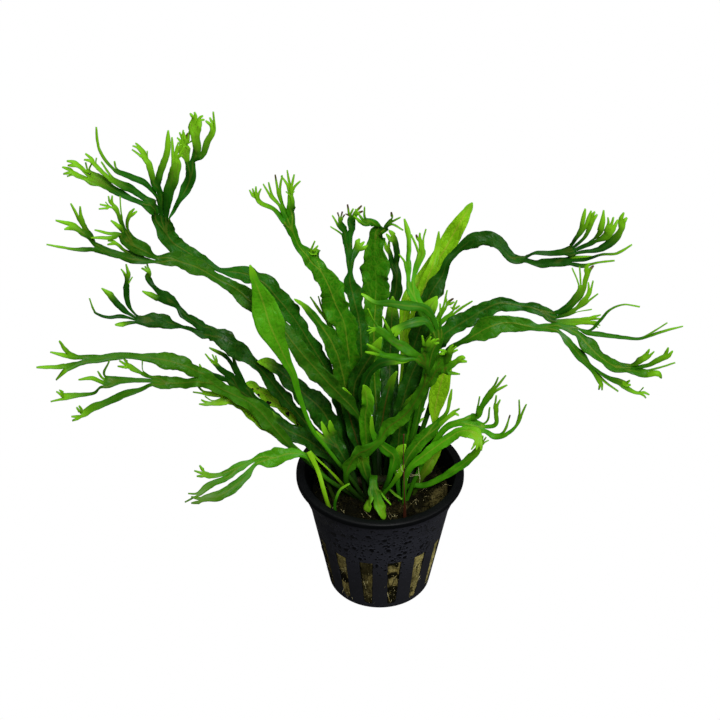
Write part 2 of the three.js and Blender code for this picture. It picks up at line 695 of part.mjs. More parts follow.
      tip(-23.3, 57.8, -4), tip(-20.6, 58, -4)),
  },
  leaf_dark_left: {
    root: [-8.4, 0],
    colour: "dark",
    part: blade([[-13, 7, 0, 3.2], [-16, 14, 1, 6], [-20, 20.6, 3, 7.6], [-25, 25, 4, 7],
      [-29.4, 29.4, 5, 5.4],
      [-33.6, 33, 6, 4.2], [-37, 35.4, 7, 3.2], [-41, 36.2, 8, 0]]),
  },
  leaf_dark_low: {
    root: [-11.6, -3.6],
    colour: "dark",
    part: blade([[-14.8, 3, 1.5, 3.2], [-20, 7, 3.4, 5.2], [-25, 10.4, 4.6, 5.6], [-30, 12.8, 5.6, 5.2],
      [-34.6, 15.8, 6.4, 4], [-39.6, 21.6, 7, 0]]),
  },
  leaf_dark_crest: {
    root: [-6, -6],
    colour: "dark",
    part: blade([[-11.4, 2.6, 6, 3.2], [-14.4, 7.6, 8, 5.6], [-17.8, 11.4, 9, 6]],
      tip(-22.6, 13.6, 10), tip(-19.6, 16.2, 10), tip(-16.8, 16.6, 10)),
  },
  leaf_dark_inner: {
    root: [-2.8, 0.6],
    colour: "dark",
    part: blade([[-7.2, 8, 2, 3.4], [-9.4, 15, 3, 5], [-11, 21, 5, 4.8], [-12.4, 27.6, 6, 0]]),
  },
  leaf_dark_core: {
    root: [-0.4, 2.4],
    colour: "dark",
    part: blade([[-0.6, 9, -5, 3], [0.6, 16, -5, 4.8], [2, 23.6, -4, 4.2], [3.6, 29, -4, 2.4],
      [5.6, 33, -3, 0]]),
  },
  leaf_dark_front: {
    root: [2.8, -5.4],
    colour: "dark",
    part: blade([[5.6, 3, 5, 3], [6.2, 9, 8, 5.4], [7, 15, 10, 5.6], [9.4, 20.4, 11, 4], [12, 26, 12, 0]]),
  },
  frond_centre_crest: {
    root: [-1.2, 4.2],
    colour: "dark",
    part: blade(
      [[-4, 16, -8, 2.4], [-5.4, 30, -7, 4], [-6.4, 40, -6, 5], [-6.6, 46, -6, 5.2], [-7.4, 51, -6, 4.8],
        [-8.4, 55.4, -5, 5], [-9.5, 60, -5, 5.4], [-10.2, 63, -4, 3.8], [-10.1, 66, -4, 1.6],
          [-10.2, 69.6, -4, 3.2]],
      blade([[-10.7, 75.5, -4, 2.8]],
        blade([[-12.4, 79, -3, 2.8]],
          tip(-16.6, 81.2, -2),
          blade([[-13.6, 82.3, -2, 2.4]], tip(-16, 84.9, -1), tip(-12.6, 86.2, -1))),
        blade([[-10, 79.5, -4, 2]],
          blade([[-9.6, 83.4, -4, 2.6]], tip(-10.9, 88.6, -3), tip(-6.1, 88.2, -4)))),
      blade([[-7.8, 73.6, -5, 2.2]], tip(-5.2, 76.2, -5)),
    ),
  },
  frond_big_curl: {
    root: [0.4, 4.8],
    colour: "green",
    part: blade(
      [[-1, 17, -10, 2.8], [-1.8, 32, -11, 4.2], [-2, 45, -11, 5.4], [-1.7, 54, -11, 7],
        [-1.5, 61.5, -10, 9],
        [-1.7, 68, -9, 8.4], [-1.9, 74, -8, 6.8], [-1.2, 78.4, -7, 5.6], [0.6, 81, -5, 4.4]],
      blade([[-2.6, 82.6, -4, 2.6], [-5.6, 83.4, -1, 2.4]],
        tip(-8.3, 87, 0), tip(-8.8, 84.8, 0), tip(-5.2, 87.8, 0)),
      blade([[3.8, 82.6, -2, 2.2]],
        tip(3.8, 86, -1), tip(6.8, 84.2, 0), tip(7.7, 79.9, -1)),
    ),
  },
  frond_back_curl: {
    root: [2, 8.4],
    colour: "dark",
    part: blade(
      [[2.4, 25, -16, 2.4], [3.2, 42, -18, 3.4], [4.2, 54, -19, 4], [5.2, 60.5, -19, 4],
        [5.4, 65, -18, 3.2],
        [4.6, 69, -18, 3]],
      blade([[3.2, 72.4, -17, 1.9]], tip(1.7, 76.2, -16)),
      blade([[5.6, 73, -17, 2.4], [4.6, 76.4, -16, 2.8]], tip(2, 78.8, -15)),
    ),
  },
  frond_bright_crest: {
    root: [6, -5.4],
    colour: "bright",
    part: blade(
      [[9.6, 12.4, 2.8, 1.6], [14, 27, 6.6, 2.3], [18.2, 40, 9.3, 3], [18, 47.6, 10.5, 3.2],
        [14.8, 52.6, 9, 3.2],
        [11.6, 57.2, 7, 3], [10.2, 62.4, 5, 3.2]],
      blade([[9.2, 69.5, 3, 2.6]],
        tip(6.3, 72, 3),
        blade([[9.8, 74, 2, 1.8], [9.4, 79, 1, 1.7]], tip(8.1, 83.8, 0))),
      blade([[12.6, 68.4, 3, 2.4], [14, 72.8, 2, 3.4]],
        tip(10.3, 78.6, 1),
        blade([[13.8, 76.3, 1, 2.2]], tip(12, 78.5, 1), tip(15.3, 80.4, 1))),
    ),
  },
  leaf_translucent: {
    root: [6.8, 5.4],
    colour: "pale",
    part: blade([[8, 20, -12, 1.8], [8.2, 38, -16, 2.8], [8, 50, -18, 3.4], [9.6, 58, -18, 4],
      [14, 63.6, -19, 4.6],
      [18, 68.3, -19, 5.4], [21.5, 73.3, -19, 6], [24.2, 78.2, -19, 6.2], [26.8, 82.6, -18, 5],
      [29, 86.2, -18, 2.8], [30.8, 89.2, -18, 0]]),
  },
  leaf_pale_narrow: {
    root: [2, 3.6],
    colour: "pale",
    part: blade([[6, 20, -10, 1.8], [9, 40, -11, 2.6], [12.6, 55, -12, 3.6], [15.4, 62.4, -12, 4],
      [17.6, 68.4, -12, 3.2],
      [19, 73, -13, 2], [19.6, 79.6, -13, 0]]),
  },
  frond_right_tall: {
    root: [6, 4.2],
    colour: "dark",
    part: blade(
      [[8.6, 14, -5.6, 2.2], [11.4, 29, -5.4, 3.6], [13, 43, -4.2, 5.4], [14.8, 53.5, -4, 6],
        [18, 60.5, -3, 5.6],
        [20.8, 65, -3, 3.4], [22.2, 69.3, -2, 2.3], [25.2, 72.6, -2, 2.2], [28.5, 75.2, -1, 3.2],
        [32.2, 77.2, 0, 4.7], [35.6, 77, 0, 4.8], [39.2, 75.6, 1, 4.2], [41.6, 72.8, 2, 3],
        [44, 70.4, 3, 3.8], [48, 69.8, 3, 4.4]],
      blade(
        [[51.6, 72.3, 4, 1.5], [57, 72.2, 5, 1.6], [61, 72.7, 6, 2.2], [64.4, 73, 7, 3.6]],
        blade([[65.2, 77, 8, 1.4], [68, 81.5, 9, 2.4]], tip(68.4, 87.2, 10), tip(70.4, 86.5, 10)),
        blade([[68.5, 78, 8, 1.3], [70.2, 81.8, 9, 1.6]], tip(71.6, 86.2, 10)),
        blade([[71.3, 76.2, 8, 2]],
          blade([[73.5, 79.5, 9, 1.6]], tip(74.5, 86.7, 10)),
          blade([[75.9, 78.4, 10, 2.4]], tip(77.8, 84.4, 11))),
        blade([[74.3, 74, 8.6, 2.2], [77.8, 76.6, 9, 2.4], [80.1, 80.2, 10, 1.9]], tip(81.3, 85.9, 11)),
      ),
      blade(
        [[53, 68.8, 4, 3.2], [58, 69.1, 5, 2.8], [63, 69.5, 6, 2.8]],
        tip(71, 71.2, 7),
        blade([[68, 70, 7, 1.2], [74, 71.8, 9, 0.8], [79, 72.2, 10, 0.7]], tip(84, 75.2, 11)),
        blade([[67.5, 67.9, 7, 1.4], [72, 69, 8, 0.8]], tip(78.2, 69.8, 9)),
      ),
    ),
  },
  frond_right_upper: {
    root: [6.8, 1.2],
    colour: "dark",
    part: blade(
      [[9.8, 11, -2, 1.7], [13.4, 23, -0.8, 3], [16, 33, 3.1, 4.6], [18, 40.6, 5, 4.8],
        [21.6, 45.4, 6, 4.8],
        [26.5, 48.5, 6.5, 5.4], [31.2, 51.4, 7, 6.4], [36, 54.2, 7.5, 4.9], [40, 55.7, 8, 4.4],
        [44, 55.3, 8, 3.6], [47.5, 54.6, 8, 2.8], [51, 54, 9, 3.6], [54.4, 52.6, 9, 4],
        [58.4, 50.8, 10, 4]],
      blade([[61.6, 53.8, 11, 2.2], [65.2, 57, 12, 3], [67.2, 61.4, 13, 3.2]],
        tip(64, 67.4, 14), tip(66.5, 67.8, 14), blade([[68.9, 65, 14, 1.8]], tip(69.8, 69, 15))),
      blade([[64.8, 53.2, 11, 2]],
        blade([[68.8, 57, 12, 2.6]], tip(71, 63.2, 13), tip(72.7, 58.8, 13)),
        tip(70.6, 53.6, 12)),
      blade([[64.6, 49.4, 11, 2.6], [69.6, 49.8, 12, 2.4]], tip(73.6, 51.8, 13), tip(73.4, 48.2, 13)),
    ),
  },
  frond_right_lower: {
    root: [9.2, -4.2],
    colour: "green",
    part: blade(
      [[12.6, 8.6, -1.6, 1.5], [16.4, 20.6, -0.6, 1.7], [19.8, 33, 1, 1.8], [22.4, 39.6, 4, 1.6],
        [26.6, 42.4, 8, 1.4],
        [30, 44, 10, 2.6], [33.4, 46, 11, 6], [37, 47.8, 12, 6.6], [40.4, 49, 12, 5.2],
          [44.6, 49.1, 12.5, 4.8],
        [48.6, 48.2, 13, 3.8], [52.4, 47.4, 13.5, 2.1], [56, 47.5, 14, 2.6], [59.6, 47.2, 15, 3.4]],
      blade(
        [[62.6, 42.8, 16, 2.6], [66.4, 38.4, 16, 2.8], [70, 34.2, 17, 2.2]],
        blade([[73.2, 29.8, 18, 2.4]], tip(74, 26.6, 19), tip(79.4, 26.2, 19)),
        blade([[75.4, 31, 18, 1.5], [80.4, 29, 19, 3]],
          tip(83.6, 28.4, 20), blade([[85, 25.9, 20, 1.2]], tip(89.8, 25.1, 21))),
      ),
      blade(
        [[65.4, 46.2, 15, 3.4]],
        blade([[69.2, 41.6, 16, 4.4], [73.6, 37.2, 17, 4.2], [78, 34.4, 18, 4], [83.4, 33.8, 19, 3.8]],
          blade([[87.2, 36.9, 20, 2]], tip(91.4, 39.6, 21)),
          blade([[89.4, 35, 20, 1.3], [94, 37.4, 21, 2]], tip(97.6, 39.8, 22)),
          blade([[89, 32.2, 20, 2.6]], tip(98.4, 35.8, 21), blade([[92.6, 32, 21, 2]], tip(93.8, 30.6, 21)))),
        blade([[70, 45.9, 16, 1.9]],
          blade([[73.2, 49.6, 17, 1], [77, 53.6, 18, 0.7], [81.6, 55.2, 19, 0.6]], tip(86.6, 54.4, 20)),
          blade([[75.4, 44.8, 17, 1.7], [81, 44.1, 18, 1.3], [87.4, 44, 19, 1.1]],
            tip(95.8, 49.1, 21), blade([[93, 45.8, 20, 0.8]], tip(101, 48, 21)))),
      ),
    ),
  },
  frond_right_small: {
    root: [4.4, 1.8],
    colour: "bright",
    part: blade(
      [[10, 15, -4, 1.6], [14, 32, -3.4, 2.2], [17.4, 43, -3, 2.6], [19.8, 49.5, -2, 3.2]],
      blade([[21.3, 54, -1, 1.8]], tip(22.4, 60, 0), tip(24.5, 57.2, 0)),
      blade([[24, 52.2, -1, 1.8]], tip(25.7, 56.6, 0), tip(30.8, 56.4, 1)),
    ),
  },
  leaf_dark_fold: {
    root: [3.6, 3],
    colour: "dark",
    part: blade([[6.5, 14, -4, 2.4], [9, 30, -3, 4], [12, 43, -2, 5.4], [15.5, 52, -1, 5],
      [19, 58, -1, 0]]),
  },
  frond_reaching_left: {
    root: [5.2, -7.2],
    colour: "green",
    part: blade(
      [[10.5, 10, 4, 2], [14, 25, 8, 3], [17, 38, 10, 3.4], [18.8, 46.5, 12, 3.8]],
      blade([[15.2, 49.4, 13, 2.2], [10.5, 49, 14, 2.6], [6.5, 47.4, 14, 2]], tip(3.8, 45.2, 14)),
      blade([[14.5, 54, 13, 2.4], [9, 54.7, 14, 2.8], [3.5, 55.5, 15, 2.4], [-1.5, 55.9, 16, 1.4]],
        tip(-6.3, 58.8, 16)),
      tip(20, 55.5, 13),
    ),
  },
  frond_front_fan: {
    root: [-5.2, -8.4],
    lift: 0.1,
    colour: "bright",
    part: blade(
      [[-11.4, -2, 13, 1.8], [-9.8, 2.6, 16, 4.6], [-7.2, 5.6, 18, 5.2], [-3.6, 7.2, 20, 3.2],
        [-0.4, 9.4, 21, 2.4],
        [2.6, 14, 22, 4.2], [6.5, 17, 23, 4.4], [9.6, 19.8, 24, 3.8], [12.4, 24, 25, 3.2],
        [14.6, 27.8, 26, 3.4], [17, 31.5, 27, 4.8]],
      blade(
        [[15, 35, 28, 2.6], [13, 38.2, 29, 4.2]],
        blade([[6.5, 37.4, 30, 2.2], [0, 38.7, 31, 2]], tip(-5, 39.4, 32), tip(-4.5, 42.1, 32)),
        blade([[7.5, 41, 30, 3.4], [3, 44.2, 31, 2.8]],
          blade([[-1.2, 47.2, 32, 2.2]], tip(-4.4, 46.4, 33), tip(-4.2, 53.9, 33)),
          tip(0.8, 51.3, 32)),
        blade([[16, 41.2, 30, 3]], tip(14, 44.9, 31), tip(17, 44.5, 31), tip(19.6, 43.8, 31)),
      ),
      blade([[21.8, 35.6, 28, 6.4]],
        blade([[22.6, 39, 29, 3]], tip(19.8, 40, 30), tip(25.5, 41.2, 30)),
        blade([[25.8, 36.4, 29, 1.8]], tip(28.4, 37.3, 30)),
        tip(26.6, 32, 29)),
    ),
  },
  leaf_front_bright: {
    root: [-2, -4.8],
    colour: "bright",
    part: blade([[-4.6, 4, 8, 1.8], [-4.6, 9.5, 10, 2.9], [-4.9, 15, 12, 4], [-4.7, 18.8, 13, 4.9],
      [-4.2, 22.2, 14, 4.6], [-4.7, 25.2, 14, 3.5], [-5.6, 28.4, 15, 0]]),
  },
  leaf_front_under: {
    root: [-2, -6],
    colour: "green",
    part: blade([[-3.9, -3.6, 6, 1.5], [-5, -0.4, 8, 3.6], [-6, 3.6, 10, 4.4], [-6.8, 8, 12, 0]]),
  },
  leaf_front_strap: {
    root: [0.4, -4.2],
    lift: 0,
    colour: "green",
    part: blade([[3.6, -0.6, 10, 1.8], [4.6, 4.6, 13, 3.4], [1.8, 7.2, 16, 3.3], [-0.8, 9.6, 18, 2.6],
      [-2.6, 12.8, 19, 1.6], [-2.8, 18, 20, 0]]),
  },
  leaf_front_curl: {
    root: [1.2, -6],
    colour: "green",
    part: blade([[2.6, -6.2, 3.4, 1], [4.8, -8, 5, 1.4], [7.4, -9.8, 6, 0]]),
  },

  leaf_front_sprout: {
    root: [-0.6, -5.8],
    colour: "bright",
    part: blade([[4.6, -3.8, 7.1, 1.1], [6.4, -1.2, 8.9, 1.8], [8, 1.8, 9.5, 0]]),
  },

  leaf_front_lobed: {
    root: [-0.4, -7.2],
    lift: 1,
    colour: "bright",
    part: blade([[-1.6, -4.6, 9, 1.6], [-2, -2, 12.4, 1.8], [-2.2, -2.6, 15.4, 2.2], [-2.2, -5.2, 17, 2.6],
      [-2, -8, 17, 5.2]],
      blade([[-3.6, -11.2, 16.4, 2.6]], tip(-4.6, -14, 15.6)),
      blade([[-0.4, -12, 16.2, 3.2]], tip(1.6, -16.4, 15)),
      tip(3.6, -11.6, 16.4)),
  },
  leaf_front_small: {
    root: [6.6, -8.4],
    colour: "green",
    part: blade([[5.8, 1.5, 8, 2.2], [6.6, 6, 11, 3.2], [8.6, 8.6, 12.5, 0]]),
  },
  petiole_cut: {
    root: [-16, -15.2],
    lift: 0,
    colour: "pale",
    part: blade([[-18.6, -7.4, 14, 1.8], [-20.8, 0, 15, 1.9], [-23.8, 6.2, 16, 2.1]]),
  },
  petiole_thin: {
    root: [-9.2, -5.4],
    lift: 0,
    colour: "pale",
    part: blade([[-18.4, 1.4, 11, 1], [-21, 3.8, 12, 1], [-23.4, 6.4, 13, 1]]),
  },
  leaf_front_left: {
    root: [-14.6, -16],
    lift: 0,
    colour: "green",
    part: blade([[-14.6, -9.2, 14, 1.4], [-13, -6.3, 15, 1.6], [-10.2, -4.5, 16, 0]]),
  },
  stalk_dark: {
    root: [8, -17.6],
    lift: 0,
    colour: "stalk",
    part: blade([[8.1, -8, 16, 0.9], [7.9, 0, 17, 0.8], [7.8, 8, 18, 0.7], [7.9, 12, 18.5, 0]]),
  },
  leaf_right_pale: {
    root: [10.8, -4.8],
    lift: 0,
    colour: "pale",
    part: blade([[14, -1.8, 2.5, 2.4], [15.6, 0.6, 4, 3.6], [17.3, 4, 4.5, 3.8], [19.2, 7.6, 5, 2.6],
      [18.9, 10.8, 5, 1.4], [18.3, 15, 5, 1.8], [18.3, 20, 5, 3.8], [19.2, 24.4, 5, 5.6],
      [20.2, 28.4, 5, 6.2], [21.6, 33, 5, 4.6], [23, 38.6, 5, 0]]),
  },
  frond_right_short: {
    root: [7.6, -6.6],
    colour: "green",
    part: blade(
      [[9, 3.6, 9, 3], [12.4, 8.4, 11.5, 4.3], [16, 12, 13.5, 4], [19.4, 15.4, 15, 2.6]],
      blade([[22, 19, 16, 1.1], [23.2, 23.5, 16, 1.1]], tip(23.9, 27, 16)),
      blade([[23.3, 18.2, 16, 1.3], [25, 19.4, 16, 1.6]], tip(26.5, 20.5, 17), tip(26.3, 18.2, 17)),
    ),
  },
  frond_right_crest: {
    root: [8.4, -7.8],
    colour: "bright",
    part: blade(
      [[15, 4, 8.5, 1.5], [18.5, 9.8, 10.5, 1.8], [22.5, 14.5, 11.5, 2.2], [27, 16, 12.5, 2.4],
        [30, 15.8, 13, 4]],
      blade([[32.6, 18, 15, 1.9], [33.4, 21, 16, 2.4]],
        tip(33.2, 24.6, 17),
        blade([[36, 24.4, 17, 2.2], [38.4, 27.4, 18, 2.4]],
          tip(39.4, 31, 19), tip(42, 31.6, 19), tip(42.4, 28.4, 19))),
      blade([[34.6, 13.8, 14, 3.8]],
        tip(36.6, 21, 16),
        blade([[38.2, 15, 15, 1.4], [38.6, 19, 16, 1.4]], tip(38.7, 25, 17)),
        blade([[38.4, 11.2, 15, 2], [41.4, 12, 16, 2]],
          tip(43.3, 18.4, 17),
          blade([[44.7, 14, 17, 1.1], [46.7, 18.4, 18, 1.4]], tip(46.3, 23.5, 19), tip(48.8, 22, 19)))),
    ),
  },
  leaf_right_lobed: {
    root: [7.6, -9.6],
    colour: "bright",
    part: blade([[10.6, 1.4, 12.5, 2.2], [14.2, 4.5, 14.5, 3.5], [18.4, 7.5, 16, 3.6],
      [22.6, 10.4, 17, 3.6],
      [27.2, 12.8, 18, 3.6], [30.8, 12.4, 20, 4.2], [32.5, 9.6, 22, 2.8], [32, 6.6, 23, 0]]),
  },
  frond_right_low: {
    root: [6.6, -3.8],
    colour: "bright",
    part: blade([[10, -5.2, 2.6, 1.5], [14.5, -5.1, 4, 1.8], [20, -2.8, 7, 1.9], [24.5, -0.2, 10, 2.4],
      [28, 2.2, 12, 2.6], [31.5, 5.4, 15, 2.3], [33.6, 8.5, 17, 1.4], [35.4, 11, 19, 0]]),
  },
  leaf_dark_arch: {
    root: [-1.2, 1.2],
    colour: "dark",
    part: blade([[-2.6, 9, 1, 2.2], [-5, 20, 5, 3], [-5.4, 28, 7, 3], [-3, 33, 8, 2.8], [0.6, 35.6, 9, 2.6],
      [5, 36.1, 10, 2.6], [10, 36.7, 11, 0]]),
  },
  leaf_dark_right: {
    root: [1.2, 1.2],
    colour: "dark",
    part: blade([[4, 10, 0.6, 3.2], [6.5, 19, 0.9, 5], [9.5, 29, 0.7, 5.6], [13, 37, 0, 4.8],
      [17, 43.5, 0, 3.2],
      [21, 47, 0, 0]]),
  },
  frond_dark_low_right: {
    root: [2.8, 1.8],
    colour: "dark",
    part: blade([[7.4, 7.6, 1, 2.6], [10, 15.4, 1, 4]],
      tip(13, 21, 1), tip(14.9, 20.6, 1), tip(14.6, 17.4, 1)),
  },
  leaf_centre_cross: {
    root: [-2, 2.4],
    colour: "dark",
    part: blade([[-6, 11, 0, 2.4], [-8.8, 21, 2, 4.2], [-8.2, 29.4, 4, 4.6], [-5.4, 34.4, 5, 4.8],
      [-2.4, 39, 6, 3.6],
      [0.5, 44.4, 7, 0]]),
  },
  leaf_yellow_back: {
    root: [4.4, 6],
    colour: "pale",
    part: blade([[8.8, 18, -14, 2], [8.6, 32, -20, 3], [9, 42, -22, 4], [10.6, 49, -22, 3],
      [12.6, 54, -22, 0]]),
  },
  leaf_pale_back: {
    root: [7.6, 3.6],
    colour: "pale",
    part: blade([[10.4, 15, -7, 1.4], [13.4, 32, -11.5, 2.4], [13.4, 42, -12.5, 3], [14.5, 47, -13, 2.4],
      [17.4, 48.4, -13, 0]]),
  },
  leaf_back_left: {
    root: [-6, 4.8],
    colour: "green",
    part: blade([[-12, 12, -7, 2.2], [-12.4, 22, -12, 3.2], [-12.4, 34, -18, 4.4], [-13, 45, -23, 4.2],
      [-13.8, 54, -28, 2.6], [-14.6, 60, -31, 0]]),
  },
  leaf_back_upright: {
    root: [2, 5.4],
    colour: "dark",
    part: blade([[3, 14, -12, 2.4], [3, 26, -14.6, 6.2], [3.4, 38, -16, 6.4], [3.8, 49, -16, 5],
      [4.2, 58, -15, 0]]),
  },
  leaf_back_middle: {
    root: [0.4, 7.2],
    colour: "dark",
    part: blade([[-0.4, 14, -12, 2.2], [-1.6, 24, -18, 3.2], [-1.8, 42, -21, 4.6], [-1.6, 57.8, -27.4, 4.6],
      [-1.4, 67.4, -33.8, 0]]),
  },
  leaf_back_right: {
    root: [7.6, 7.2],
    colour: "green",
    part: blade([[11, 12, -9.5, 1.8], [12, 22, -17.6, 3], [12.4, 34, -22, 4.2], [13, 44, -25, 3.8],
      [14.2, 52, -28, 0]]),
  },
};

addPiece("net_pot", pot(), "plastic", 0.35);
addPiece("mineral_wool", wool(), "wool", 0.95);
addPiece("rhizome", rhizome(), "rhizome", 0.7);
for (const [name, frond] of Object.entries(FRONDS)) {
  addPiece(name, frondGeometry(frond), frond.colour, 0.4);
}

export default plant;
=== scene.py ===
"""The potted windelov java fern, dressed for its picture.

A slotted net pot filled with mineral wool, a creeping rhizome, and the fronds that grow from it,
whose tips fork into crests. Shapes are worked out in millimetres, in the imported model's frame, and
a finished mesh is in metres.
"""

import json
import logging
import math
import random
from collections.abc import Iterable, Sequence
from dataclasses import dataclass, field, replace
from enum import Enum
from functools import cache

import bmesh
import bpy
import numpy as np
from bmesh.types import BMesh, BMFace, BMVert
from bpy.types import ID, Material, Mesh, Node, NodeSocket, NodeTree, Object, World
from mathutils import Matrix, Vector, noise

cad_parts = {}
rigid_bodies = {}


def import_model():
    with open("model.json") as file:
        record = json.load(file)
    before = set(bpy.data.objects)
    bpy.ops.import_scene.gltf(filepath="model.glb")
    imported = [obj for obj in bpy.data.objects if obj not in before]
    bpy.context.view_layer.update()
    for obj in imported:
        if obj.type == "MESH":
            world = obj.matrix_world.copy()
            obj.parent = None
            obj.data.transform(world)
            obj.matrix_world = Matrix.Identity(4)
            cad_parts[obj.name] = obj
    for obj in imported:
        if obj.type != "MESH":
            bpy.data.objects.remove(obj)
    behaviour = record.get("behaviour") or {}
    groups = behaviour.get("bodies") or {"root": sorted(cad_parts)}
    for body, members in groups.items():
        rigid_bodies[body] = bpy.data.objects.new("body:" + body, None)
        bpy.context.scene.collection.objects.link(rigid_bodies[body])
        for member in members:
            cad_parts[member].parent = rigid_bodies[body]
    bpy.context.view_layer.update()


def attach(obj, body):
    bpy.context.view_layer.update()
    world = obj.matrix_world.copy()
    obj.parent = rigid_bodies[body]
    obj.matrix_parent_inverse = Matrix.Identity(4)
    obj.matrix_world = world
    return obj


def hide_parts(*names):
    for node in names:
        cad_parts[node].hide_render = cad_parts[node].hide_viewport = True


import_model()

log = logging.getLogger("fern")

MM = 0.001
UP = Vector((0, 0, 1))
BODY = "root"

# What the fronds' vertices carry for the leaf finishes to read
MARKS = ("rib", "broad", "reach", "fresh", "scorch", "tint", "shadow", "rust", "spotted")

Colour = tuple[float, float, float, float]
Pair = tuple[float, float]
Station = Sequence[float]


def smooth(value: float, low: float = 0.0, high: float = 1.0) -> float:
    """An even S-shaped rise from 0 at low to 1 at high.

    Args:
        value: The number to look up.
        low: Where the rise starts.
        high: Where it ends.

    Returns:
        A share from 0 to 1.
    """
    share = min(max((value - low) / (high - low), 0.0), 1.0)
    return share * share * (3 - 2 * share)


def mix(start: float, end: float, share: float) -> float:
    """The number that lies share of the way from start to end."""
    return start + (end - start) * share


def glide(start: float | Vector, leave: float | Vector, end: float | Vector, arrive: float | Vector,
          share: float) -> float | Vector:
    """The place share of the way along a smooth run from start to end.

    Args:
        start: Where the run starts, a number or a point.
        leave: How fast it leaves there.
        end: Where it ends.
        arrive: How fast it arrives there.
        share: How far along it is, from 0 to 1.

    Returns:
        The number or the point.
    """
    return (start * (2 * share ** 3 - 3 * share ** 2 + 1)
            + leave * (share ** 3 - 2 * share ** 2 + share)
            + end * (3 * share ** 2 - 2 * share ** 3) + arrive * (share ** 3 - share ** 2))


def paint(red: int, green: int, blue: int) -> Colour:
    """A colour given as screen values from 0 to 255, as linear light.

    Args:
        red: Red as seen on screen.
        green: Green as seen on screen.
        blue: Blue as seen on screen.

    Returns:
        Linear red, green, blue and an alpha of 1.
    """
    def linear(value: int) -> float:
        """One screen value as linear light."""
        share = value / 255
        return share / 12.92 if share <= 0.04045 else ((share + 0.055) / 1.055) ** 2.4

    return (linear(red), linear(green), linear(blue), 1.0)


def darker(colour: Colour, share: float) -> Colour:
    """A colour with only a share of its light."""
    return (*(value * share for value in colour[:3]), 1.0)


@dataclass(frozen=True)
class Sketch:
    """The leaning plane through the middle of the rim that the fronds are drawn on.

    A point on it is across, rise and near, and near lifts it off the plane towards the eye.
    """

    lean: float = math.radians(36.5)
    rim_height: float = 47.0
    eye_across: float = -6.7
    eye_rise: float = 36.7
    eye_near: float = 700.0
    spread: float = 0.6
    straighten: float = 0.25
    spread_rise: float = 45.0

    @property
    def rise(self) -> Vector:
        """The way up the plane."""
        return Vector((0, math.sin(self.lean), math.cos(self.lean)))

    @property
    def near(self) -> Vector:
        """The way off the plane, towards the eye."""
        return Vector((0, -math.cos(self.lean), math.sin(self.lean)))

    def point(self, across: float, rise: float, near: float) -> Vector:
        """A point in the pot's frame from one given straight on the plane."""
        base = Vector((0, 0, self.rim_height))
        return base + Vector((across, 0, 0)) + self.rise * rise + self.near * near

    def eye(self) -> Vector:
        """Where the eye is, in the pot's frame."""
        return self.point(self.eye_across, self.eye_rise, self.eye_near)

    def place(self, across: float, rise: float, near: float) -> Vector:
        """Puts a drawn point in the pot's frame. It keeps its place in the eye's view.

        Args:
            across: Millimetres to the right of the rim's middle.
            rise: Millimetres up the plane.
            near: How far in front of its neighbours the point was drawn.

        Returns:
            The point in the pot's frame.
        """
        share = smooth(rise, 0, self.spread_rise)
        depth = near * (1 + self.spread * share) + self.straighten * rise * share
        return self.point(across, rise, 0).lerp(self.eye(), depth / self.eye_near)


SKETCH = Sketch()


